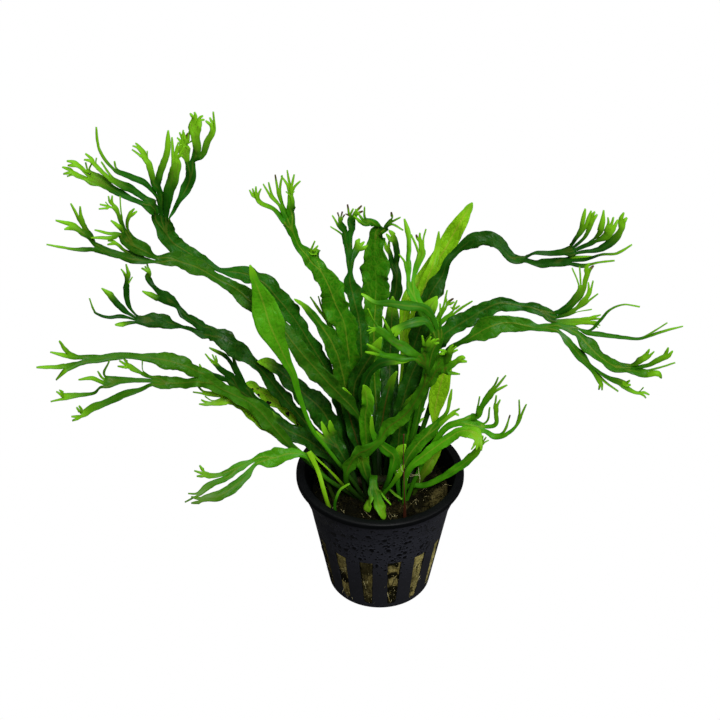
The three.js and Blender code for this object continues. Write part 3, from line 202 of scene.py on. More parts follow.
class Sheet:
    """A shader's node tree, with short ways to add and join its nodes."""

    def __init__(self, tree: NodeTree) -> None:
        """Takes the tree to draw in."""
        self.tree = tree

    @classmethod
    def cleared(cls, owner: Material | World) -> "Sheet":
        """The emptied sheet of a material or of the world."""
        owner.use_nodes = True
        owner.node_tree.nodes.clear()
        return cls(owner.node_tree)

    def node(self, kind: str, feeds: dict | None = None, **settings: object) -> Node:
        """Adds one node.

        Args:
            kind: The node's type without its ShaderNode prefix.
            feeds: For each input, by name or number, a socket to join or a value to set.
            settings: Properties of the node itself.

        Returns:
            The node.
        """
        made = self.tree.nodes.new("ShaderNode" + kind)
        for name, value in settings.items():
            setattr(made, name, value)
        for key, value in (feeds or {}).items():
            if isinstance(value, NodeSocket):
                self.tree.links.new(value, made.inputs[key])
            else:
                made.inputs[key].default_value = value
        return made

    def maths(self, operation: str, *values: object) -> NodeSocket:
        """Runs numbers or sockets through one kind of sum, two at a time.

        Args:
            operation: The kind of sum.
            values: Numbers or sockets.

        Returns:
            The result.
        """
        result = values[0]
        for value in values[1:]:
            result = self.node("Math", {0: result, 1: value}, operation=operation).outputs[0]
        return result

    def times(self, *values: object) -> NodeSocket:
        """The product of numbers and sockets."""
        return self.maths("MULTIPLY", *values)

    def plus(self, *values: object) -> NodeSocket:
        """The sum of numbers and sockets."""
        return self.maths("ADD", *values)

    def most(self, *values: object) -> NodeSocket:
        """The largest of numbers and sockets."""
        return self.maths("MAXIMUM", *values)

    def rest(self, value: object) -> NodeSocket:
        """What a value lacks to 1."""
        return self.maths("SUBTRACT", 1.0, value)

    def vectors(self, operation: str, feeds: dict) -> NodeSocket:
        """One sum of vectors."""
        return self.node("VectorMath", feeds, operation=operation).outputs["Vector"]

    def blend(self, base: object, *coats: tuple[object, object]) -> NodeSocket:
        """Lays colours over a base, one after the other, each with its own share.

        Args:
            base: The colour underneath.
            coats: For each coat, its share and its colour.

        Returns:
            The colour seen.
        """
        for share, colour in coats:
            feeds = {0: share, 6: base, 7: colour}
            base = self.node("Mix", feeds, data_type="RGBA").outputs[2]
        return base

    def step(self, value: object, low: float, high: float, bottom: float = 0.0,
             top: float = 1.0) -> NodeSocket:
        """A smooth rise from bottom to top as value goes from low to high."""
        feeds = {"Value": value, "From Min": low, "From Max": high, "To Min": bottom, "To Max": top}
        return self.node("MapRange", feeds, interpolation_type="SMOOTHSTEP").outputs[0]

    def step_mm(self, value: object, span: Pair, bottom: float = 0.0,
                top: float = 1.0) -> NodeSocket:
        """A smooth rise from bottom to top over a span of a length, in millimetres."""
        return self.step(value, span[0] * MM, span[1] * MM, bottom, top)

    def attribute(self, name: str, output: str = "Fac") -> NodeSocket:
        """A value that the mesh carries at its vertices."""
        return self.node("Attribute", attribute_name=name).outputs[output]

    def cloud(self, place: object, scale: float, detail: float = 3.0, rough: float = 0.5) -> NodeSocket:
        """Soft noise from 0 to 1."""
        feeds = {"Vector": place, "Scale": scale, "Detail": detail, "Roughness": rough}
        return self.node("TexNoise", feeds).outputs["Fac"]

    def cells(self, place: object, scale: float, **settings: str) -> Node:
        """A pattern of cells."""
        return self.node("TexVoronoi", {"Vector": place, "Scale": scale}, **settings)

    def stretch(self, place: object, scale: tuple[float, float, float]) -> NodeSocket:
        """A pattern's coordinates, stretched along each axis."""
        return self.node("Mapping", {"Vector": place, "Scale": scale}).outputs[0]

    def objects(self) -> NodeSocket:
        """The piece's own coordinates, in metres."""
        return self.node("TexCoord").outputs["Object"]

    def parts(self, place: object) -> Sequence[NodeSocket]:
        """The x, y and z of coordinates."""
        return self.node("SeparateXYZ", {0: place}).outputs

    def pattern(self, group: NodeTree, **feeds: object) -> Sequence[NodeSocket]:
        """What a node group puts out for what it is fed."""
        return self.node("Group", feeds, node_tree=group).outputs

    def relief(self, height: object, strength: float, distance: float) -> NodeSocket:
        """A normal that follows a height, in metres."""
        feeds = {"Height": height, "Strength": strength, "Distance": distance}
        return self.node("Bump", feeds).outputs[0]

    def shine(self, colour: object, rough: object, gloss: float,
              normal: NodeSocket | None = None) -> NodeSocket:
        """A surface with a colour, a roughness, a gloss and, where it has one, a relief.

        Args:
            colour: Its colour.
            rough: Its roughness.
            gloss: Its specular level.
            normal: Its relief, if it has one.

        Returns:
            The shader.
        """
        feeds = {"Base Color": colour, "Roughness": rough, "Specular IOR Level": gloss}
        if normal is not None:
            feeds["Normal"] = normal
        return self.node("BsdfPrincipled", feeds).outputs[0]

    def show(self, shader: NodeSocket, output: str = "OutputMaterial") -> None:
        """Joins a shader to the sheet's output."""
        self.node(output, {"Surface": shader})


def open_group(name: str, **inputs: str) -> tuple[Sheet, dict[str, NodeSocket]]:
    """Starts a shader node group.

    Args:
        name: The group's name.
        inputs: Each input's name and its kind, such as Float or Vector.

    Returns:
        The sheet to draw in, and the sockets that bring each input.
    """
    tree = bpy.data.node_groups.new(name, "ShaderNodeTree")
    for label, kind in inputs.items():
        tree.interface.new_socket(label, in_out="INPUT", socket_type="NodeSocket" + kind)
    source = tree.nodes.new("NodeGroupInput")
    return Sheet(tree), {label: source.outputs[label] for label in inputs}


def close_group(sheet: Sheet, **results: NodeSocket) -> NodeTree:
    """Gives a group its outputs.

    Args:
        sheet: The sheet that it was drawn in.
        results: Each output's name and the socket that feeds it.

    Returns:
        The group.
    """
    sink = sheet.tree.nodes.new("NodeGroupOutput")
    for label, socket in results.items():
        sheet.tree.interface.new_socket(label, in_out="OUTPUT", socket_type="NodeSocketFloat")
        sheet.tree.links.new(socket, sink.inputs[label])
    return sheet.tree


@cache
def leaf_pattern() -> NodeTree:
    """Draws the pattern of a blade, once for all leaf finishes.

    Returns:
        A group that puts out masks for the net of veins, the midrib, blotches and black spots,
        and the height of the surface.
    """
    sheet, given = open_group("leaf_pattern", Place="Vector", Rib="Float", Width="Float", Spots="Float")
    place, spots = given["Place"], given["Spots"]
    bend = sheet.node("TexNoise", {"Vector": place, "Scale": 0.45, "Detail": 2.0})
    shift = sheet.vectors("SUBTRACT", {0: bend.outputs["Color"], 1: (0.5, 0.5, 0.5)})
    bent = sheet.vectors("ADD", {0: place, 1: sheet.vectors("SCALE", {0: shift, "Scale": 1.6})})
    mesh, fine = (sheet.cells(sheet.stretch(bent, scale), 1.0, feature="DISTANCE_TO_EDGE").outputs[0]
                  for scale in ((0.62, 0.36, 1.0), (1.5, 1.1, 1.0)))
    net = sheet.most(sheet.step(mesh, 0.02, 0.11, 1.0, 0.0), sheet.step(fine, 0.02, 0.12, 0.3, 0.0))
    midrib = sheet.step(sheet.maths("DIVIDE", given["Rib"], given["Width"]), 0.35, 1.0, 1.0, 0.0)
    blotch = sheet.cloud(sheet.stretch(place, (0.5, 0.3, 1.0)), 1.0, 4.0, 0.6)
    dots = sheet.cells(sheet.stretch(bent, (0.5, 0.4, 1.0)), 1.0)
    reach = sheet.times(sheet.step(dots.outputs["Color"], 0.42, 0.7, 0.0, 0.4), spots)
    near_spot = sheet.step(sheet.maths("SUBTRACT", dots.outputs[0], reach), -0.06, 0.04, 1.0, 0.0)
    spot = sheet.times(near_spot, sheet.step(spots, 0.0, 0.3))
    pores = sheet.times(sheet.cloud(place, 3.0, 2.0), 0.03)
    height = sheet.plus(sheet.times(sheet.step(mesh, 0.0, 0.35), 0.8), pores)
    return close_group(sheet, Net=net, Midrib=midrib, Blotch=blotch, Spot=spot, Height=height)


@cache
def grime_pattern() -> NodeTree:
    """Draws dirt, once for the pot and the wool.

    Returns:
        A group that puts out a mask of dirt patches and one of fine specks.
    """
    sheet, given = open_group("grime", Place="Vector", Scale="Float")
    grown = sheet.vectors("SCALE", {0: given["Place"], "Scale": given["Scale"]})
    patch = sheet.step(sheet.cloud(grown, 1.0, 5.0, 0.6), 0.42, 0.62)
    speck = sheet.step(sheet.cloud(grown, 7.0, 2.0, 0.7), 0.55, 0.7)
    return close_group(sheet, Patch=patch, Speck=speck)


@dataclass(frozen=True)
class Finish:
    """The look of one kind of surface, for one of the record's material slots."""

    slot: str

    def material(self, name: str = "") -> Material:
        """Builds the material, under the slot's name where no other is given.

        Args:
            name: The material's name, or nothing for the slot's.

        Returns:
            The material.
        """
        material = bpy.data.materials.new(name or self.slot)
        sheet = Sheet.cleared(material)
        sheet.show(self.surface(sheet))
        return material

    def surface(self, sheet: Sheet) -> NodeSocket:
        """Draws the finish. Each kind of finish has its own."""
        raise NotImplementedError


@dataclass(frozen=True)
class LeafFinish(Finish):
    """A waxy blade: deep colour where it is mature, lighter towards its young tips."""

    deep: Colour
    fresh: Colour
    rib: Colour = paint(128, 146, 40)
    young: Colour = paint(112, 176, 22)
    rusty: Colour = paint(104, 58, 26)
    spot: Colour = paint(24, 22, 10)
    dry: Colour = paint(66, 44, 22)
    # The colour of painted shade low in the plant, which also darkens a dim blade
    shaded: Colour = paint(14, 22, 6)
    rib_strength: float = 0.5
    rib_width: float = 0.34
    net_strength: float = 0.2
    net_darkens: bool = False
    # How far the blade darkens towards its root, partly its own older colour and partly painted shade
    shade: float = 0.6
    glow: float = 0.18
    roughness: float = 0.36
    gloss: float = 0.09
    relief: float = 0.5

    def surface(self, sheet: Sheet) -> NodeSocket:
        """Draws the finish on the blade's own vertex values.

        Args:
            sheet: The material's sheet.

        Returns:
            The shader, which lets a share of the light through.
        """
        marks = {name: sheet.attribute(name) for name in MARKS}
        seen = sheet.pattern(leaf_pattern(), Place=sheet.attribute("vein", "Vector"), Rib=marks["rib"],
                             Width=self.rib_width, Spots=marks["spotted"])
        blotch = seen["Blotch"]
        wide = sheet.step(marks["broad"], 1.1, 2.4)
        ribbed = sheet.times(seen["Midrib"], sheet.step(marks["broad"], 0.7, 2.0), self.rib_strength)
        base = sheet.blend(
            self.deep, (sheet.step(blotch, 0.3, 0.72), self.fresh),
            (sheet.times(marks["tint"], 0.55), self.fresh),
            # Darker towards the root: partly the older colour low on the frond, partly painted shade low in
            # the plant
            (sheet.step(marks["reach"], 0.05, 0.4, self.shade, 0.0), darker(self.deep, 0.3)),
            (sheet.times(marks["fresh"], 0.9), self.young),
            (sheet.times(seen["Net"], wide, self.net_strength),
             darker(self.deep, 0.45) if self.net_darkens else self.rib),
            (ribbed, sheet.blend(self.rib, (marks["rust"], self.rusty))), (seen["Spot"], self.spot),
            (sheet.times(marks["scorch"], sheet.step(blotch, 0.2, 0.5, 0.6, 1.0)), self.dry),
            # Painted shade: dark low over the wool, under the fronds above; a dim habit darkens the grown
            # blade the same way
            (marks["shadow"], self.shaded))
        rough = sheet.step(blotch, 0.25, 0.75, self.roughness - 0.06, self.roughness + 0.14)
        normal = sheet.relief(sheet.times(seen["Height"], sheet.most(wide, 0.15)), self.relief, 0.25 * MM)
        through = sheet.node("BsdfTranslucent", {"Color": base, "Normal": normal}).outputs[0]
        shine = sheet.shine(base, rough, self.gloss, normal)
        return sheet.node("MixShader", {0: self.glow, 1: shine, 2: through}).outputs[0]


@dataclass(frozen=True)
class PlasticFinish(Finish):
    """Black moulded plastic, satin, with fine bead-like marks in its outer wall.

    The inner wall, the lip and the foot carry painted shade, and each bead a painted highlight
    round its edge. Lengths are in millimetres. Each kind of bead has the scale of its cells and
    how scarce it is.
    """

    slot: str = "pot_plastic"
    colour: Colour = paint(40, 41, 48)
    worn: Colour = paint(31, 32, 38)
    # Painted shade towards the foot
    foot: Colour = paint(24, 24, 25)
    shaded: Colour = paint(3, 4, 5)
    bead: Colour = paint(1, 1, 3)
    bead_highlight: Colour = paint(84, 86, 98)
    roughness: float = 0.46
    gloss: float = 0.1
    wall_slope: float = 0.19
    wall_reach: Pair = (16.3, 16.9)
    foot_rise: Pair = (12.0, 30.0)
    bead_top: Pair = (43.0, 44.0)
    lip_rise: Pair = (44.6, 45.2)
    beads: tuple[Pair, ...] = ((300.0, 0.5), (560.0, 0.5), (1000.0, 0.54))

    def surface(self, sheet: Sheet) -> NodeSocket:
        """Draws the finish on the pot's own coordinates.

        Args:
            sheet: The material's sheet.

        Returns:
            The shader.
        """
        place = sheet.objects()
        x, y, z = sheet.parts(place)
        radius = sheet.node("VectorMath", {0: sheet.stretch(place, (1, 1, 0))}, operation="LENGTH")
        straight = sheet.maths("SUBTRACT", radius.outputs["Value"], sheet.times(z, self.wall_slope))
        wall = sheet.step_mm(straight, self.wall_reach)
        where = sheet.times(sheet.step_mm(z, self.foot_rise, 0.25, 1.0),
                            sheet.step_mm(z, self.bead_top, 1.0, 0.0), wall)
        round_pot = sheet.times(sheet.maths("ARCTAN2", y, x), 26 * MM)
        unrolled = sheet.node("CombineXYZ", {0: round_pot, 1: sheet.times(z, 1.25)}).outputs[0]
        domes = []
        for scale, scarce in self.beads:
            cell = sheet.cells(unrolled, scale, voronoi_dimensions="2D").outputs
            size = sheet.times(sheet.step(cell["Color"], scarce, 0.68, 0.0, 0.44), where)
            dome = sheet.step(sheet.maths("DIVIDE", cell[0], sheet.most(size, 0.001)), 0.5, 1.05, 1.0, 0.0)
            domes.append(sheet.times(dome, sheet.step(size, 0.08, 0.16)))
        beads = sheet.most(*domes)
        patch = sheet.pattern(grime_pattern(), Place=place, Scale=160.0)["Patch"]
        colour = sheet.blend(
            self.colour, (sheet.times(patch, 0.4), self.worn),
            # Painted shade: the pot darkens towards its foot
            (sheet.step_mm(z, self.foot_rise, 0.6, 0.0), self.foot),
            # Painted shade: the inner wall and the lip are darkened
            (sheet.most(sheet.rest(wall), sheet.step_mm(z, self.lip_rise)), self.shaded),
            (sheet.times(beads, 0.95), self.bead),
            # Painted highlight: a light ring round the edge of each bead
            (sheet.times(beads, sheet.rest(beads), 0.8), self.bead_highlight))
        rough = sheet.plus(sheet.step(patch, 0.0, 1.0, self.roughness, self.roughness + 0.1),
                           sheet.times(beads, -0.2))
        height = sheet.plus(beads, sheet.times(sheet.cloud(place, 2600.0, 2.0), 0.05))
        return sheet.shine(colour, rough, self.gloss, sheet.relief(height, 0.6, 0.25 * MM))


@dataclass(frozen=True)
class WoolFinish(Finish):
    """Mineral fibre: yellow-brown lumps between patches of black dirt.

    A side is the stretch across the pot, in millimetres, over which something changes: painted
    light makes the wool lighter and then paler, as if sunlit, and the painted shade in its dark gaps
    thins. The top is darker, partly from its own stain and dirt, partly from painted shade.
    """

    slot: str = "mineral_wool"
    pale: Colour = paint(150, 138, 84)
    middle: Colour = paint(92, 82, 38)
    dirt_and_shade: Colour = paint(7, 7, 3)
    stained_and_shaded: Colour = paint(20, 19, 6)
    painted_sunlight: Colour = paint(206, 196, 122)
    moss: Colour = paint(44, 50, 12)
    roughness: float = 0.8
    gloss: float = 0.03
    top_rise: Pair = (36.0, 39.0)
    lit_side: Pair = (-20.0, 24.0)
    sunlit_side: Pair = (8.0, 20.0)
    closed_side: Pair = (12.0, 22.0)

    def surface(self, sheet: Sheet) -> NodeSocket:
        """Draws the finish on the plug's own coordinates.

        Args:
            sheet: The material's sheet.

        Returns:
            The shader.
        """
        place = sheet.objects()
        x, _, z = sheet.parts(place)
        specks = sheet.pattern(grime_pattern(), Place=place, Scale=220.0)["Speck"]
        threads = sheet.cloud(sheet.stretch(place, (900.0, 700.0, 260.0)), 1.0, 4.0, 0.7)
        green = sheet.step(sheet.cloud(place, 190.0, 2.0), 0.55, 0.75, 0.0, 0.5)
        top = sheet.step_mm(z, self.top_rise)
        # Painted light: the wool is lighter towards the side the light falls from
        bright = sheet.step_mm(x, self.lit_side)
        soil = sheet.step(sheet.cloud(place, 110.0, 4.0, 0.6), 0.38, 0.6, 1.0, 0.0)
        clumps = sheet.step(sheet.cloud(place, 105.0, 3.0), 0.47, 0.56, 0.85, 0.12)
        # Dark dirt, painted thinner on the lit side
        soil = sheet.times(sheet.plus(soil, sheet.times(top, clumps)), sheet.rest(sheet.times(bright, 0.45)))
        # Darker on top, partly its own stain and partly painted shade under the fronds, and painted shade on
        # the side away from the light
        stain_and_shade = sheet.plus(sheet.times(top, 0.72), sheet.times(sheet.rest(bright), 0.25))
        # Painted light: a pale sunlit colour on the lit side of the wall, below the top
        sunlit = sheet.times(sheet.step_mm(x, self.sunlit_side, 0.0, 0.6), sheet.rest(top))
        # Painted shade in the gaps between lumps, which thins on the lit side
        gap_shade = sheet.step(sheet.cloud(sheet.stretch(place, (1.0, 1.0, 0.7)), 150.0, 2.0), 0.53, 0.58)
        gap_shade = sheet.times(gap_shade, sheet.step_mm(x, self.closed_side, 1.0, 0.3))
        colour = sheet.blend(
            self.middle, (sheet.step(threads, 0.3, 0.7), self.pale), (green, self.moss),
            (stain_and_shade, self.stained_and_shaded), (sunlit, self.painted_sunlight),
            # Dark colour of both the dirt and the painted shade in the gaps
            (sheet.maths("MINIMUM", sheet.most(soil, gap_shade), 0.97), self.dirt_and_shade),
            (sheet.times(specks, 0.6), self.dirt_and_shade))
        height = sheet.plus(threads, sheet.cloud(place, 420.0, 3.0))
        return sheet.shine(colour, self.roughness, self.gloss, sheet.relief(height, 0.9, 0.5 * MM))


@dataclass(frozen=True)
class RhizomeFinish(Finish):
    """A creeping stem: green-brown skin under dark scales."""

    slot: str = "rhizome"
    green: Colour = paint(24, 40, 10)
    brown: Colour = paint(40, 30, 14)
    scale: Colour = paint(18, 14, 8)
    roughness: float = 0.6
    gloss: float = 0.06

    def surface(self, sheet: Sheet) -> NodeSocket:
        """Draws the finish on the stem's own coordinates.

        Args:
            sheet: The material's sheet.

        Returns:
            The shader.
        """
        place = sheet.objects()
        scales = sheet.cells(place, 900.0).outputs[0]
        cloud = sheet.cloud(place, 300.0, 4.0)
        colour = sheet.blend(self.green, (sheet.step(cloud, 0.35, 0.65), self.brown),
                             (sheet.step(scales, 0.3, 0.7, 0.0, 0.7), self.scale))
        normal = sheet.relief(sheet.plus(scales, cloud), 0.8, 0.4 * MM)
        return sheet.shine(colour, self.roughness, self.gloss, normal)


@dataclass(frozen=True)
class ThreadFinish(Finish):
    """Thin dry threads, pale or dark."""

    light: Colour
    dark: Colour
    roughness: float = 0.6
    gloss: float = 0.05

    def surface(self, sheet: Sheet) -> NodeSocket:
        """Draws the finish on the piece's own coordinates."""
        share = sheet.step(sheet.cloud(sheet.objects(), 500.0, 2.0), 0.35, 0.65)
        return sheet.shine(sheet.blend(self.dark, (share, self.light)), self.roughness, self.gloss)


class Tone(Enum):
    """How mature a frond is, which sets its finish. Its value is the record's slot."""

    DARK = "frond_dark"
    GREEN = "frond_green"
    BRIGHT = "frond_bright"
    PALE = "frond_pale"
    STALK = "stalk_dark"


LEAF_FINISHES = {
    Tone.DARK: LeafFinish("frond_dark", paint(12, 60, 3), paint(28, 90, 8), rib=paint(86, 100, 30),
                          net_strength=0.16, glow=0.08, relief=0.45),
    Tone.GREEN: LeafFinish("frond_green", paint(31, 97, 4), paint(54, 126, 8), net_strength=0.14,
                           glow=0.14),
    Tone.BRIGHT: LeafFinish("frond_bright", paint(50, 124, 6), paint(74, 150, 12), rib_strength=0.45,
                            net_strength=0.12, glow=0.2),
    Tone.PALE: LeafFinish("frond_pale", paint(108, 178, 10), paint(144, 204, 26), rib=paint(160, 172, 50),
                          rib_strength=0.6, net_strength=0.35, net_darkens=True, shade=0.5, glow=0.3),
    Tone.STALK: LeafFinish("stalk_dark", paint(58, 20, 16), paint(74, 30, 20), rib=paint(50, 20, 18),
                           young=paint(70, 30, 24), shade=0.2, glow=0.0, roughness=0.5),
}


@dataclass(frozen=True)
class Habit:
    """How a frond's blade carries itself. Lengths are in millimetres.

    Attributes:
        keel: How steeply the two halves rise from the midrib.
        ruffle: How far the margins wave.
        wave: The length of one such wave.
        blister: How far the blade puffs up between its veins.
        uneven: How much the blade's width varies.
        twist: How far the blade turns about its midrib, to and fro, in degrees.
        slim: How much of its drawn width it has.
        jag: How ragged its margins are, as a share of its width.
        youth: How far from its ends the blade is still young and light.
        frayed: Whether its ends split into small points.
        scorched: The share of its ends that have dried to brown.
        shadow: How much painted shade darkens its stalk where it leaves the wool.
        rust: How red its midrib is.
        spotted: How large its black spots are.
        taper: How bluntly its ends close.
        dim: How far its grown blade is darker than its finish.
    """

    keel: float = 0.16
    ruffle: float = 0.45
    wave: float = 11.0
    blister: float = 0.16
    uneven: float = 0.12
    twist: float = 14.0
    slim: float = 1.0
    jag: float = 0.06
    youth: float = 9.0
    frayed: bool = False
    scorched: float = 0.0
    shadow: float = 0.9
    rust: float = 0.0
    spotted: float = 0.0
    taper: float = 2.2
    dim: float = 0.0


PLAIN = Habit()
SMOOTH = Habit(keel=0.2, ruffle=0.25, blister=0.08, uneven=0.05, twist=6.0, jag=0.03, youth=6.0)
WAVY = Habit(ruffle=0.8, wave=9.0, uneven=0.2, twist=18.0, jag=0.12, dim=0.25)
CRESTED = Habit(ruffle=0.8, uneven=0.24, twist=22.0, jag=0.15, youth=15.0, frayed=True, scorched=0.05)
LEFT_CREST = replace(CRESTED, dim=0.5)
DEEP_CREST = replace(CRESTED, youth=7.0, dim=0.3)
RIGHT_CREST = replace(CRESTED, youth=14.0, dim=0.3)
JAGGED = replace(DEEP_CREST, uneven=0.26, jag=0.24)
BLISTERED = replace(CRESTED, keel=0.12, ruffle=0.9, wave=9.0, blister=0.3, twist=18.0, youth=20.0)
CURLED = replace(BLISTERED, youth=6.0)
BROWN_TIPPED = replace(CRESTED, youth=6.0, scorched=0.45)
FAN = replace(CRESTED, wave=7.0, uneven=0.3, jag=0.22, twist=26.0, youth=7.0, rust=0.8, dim=0.35)
RUSTY = replace(WAVY, rust=0.9)
SPOTTED = replace(WAVY, spotted=1.0)
LIT = replace(WAVY, shadow=0.3, dim=0.1)
LIT_CREST = replace(CRESTED, shadow=0.3)
BLUNT = replace(LIT, taper=5.0, dim=0.5)
WITHERED = replace(LIT, slim=0.6, shadow=0.5)
STALK = Habit(keel=0.0, ruffle=0.0, blister=0.05, uneven=0.05, twist=0.0, slim=0.75, jag=0.0, youth=0.5,
              shadow=0.4, dim=0.15)
THREAD = replace(STALK, blister=0.02, uneven=0.1, slim=0.4)


@dataclass
class Blade:
    """A stretch of a frond: its stations, each across, rise, near and width, and its forks."""

    stations: list[Station]
    forks: tuple["Blade", ...] = ()

    def start_width(self) -> float:
        """How wide the blade counts where it shares its parent's width with others."""
        return max(self.stations[0][3], 0.8)

    def ends(self) -> int:
        """How many pointed ends the blade comes to."""
        return sum(fork.ends() for fork in self.forks) or 1


def tip(across: float, rise: float, near: float) -> Blade:
    """A pointed end."""
    return Blade([(across, rise, near, 0)])


def blade(*drawn: Blade | tuple[float, ...]) -> Blade:
    """A blade as it was drawn.

    Args:
        drawn: Its stations, each across, rise, near and width, and then what it forks into, which
            are other blades, or pointed ends, each across, rise and near.

    Returns:
        The blade.
    """
    stations = [item for item in drawn if isinstance(item, tuple) and len(item) == 4]
    forks = drawn[len(stations):]
    return Blade(stations, tuple(tip(*fork) if isinstance(fork, tuple) else fork for fork in forks))


@dataclass
class Growth:
    """One frond as it was drawn: where it roots, how it is carried and its blades."""

    root: Pair
    tone: Tone
    habit: Habit
    part: Blade
    lift: float = 0.35


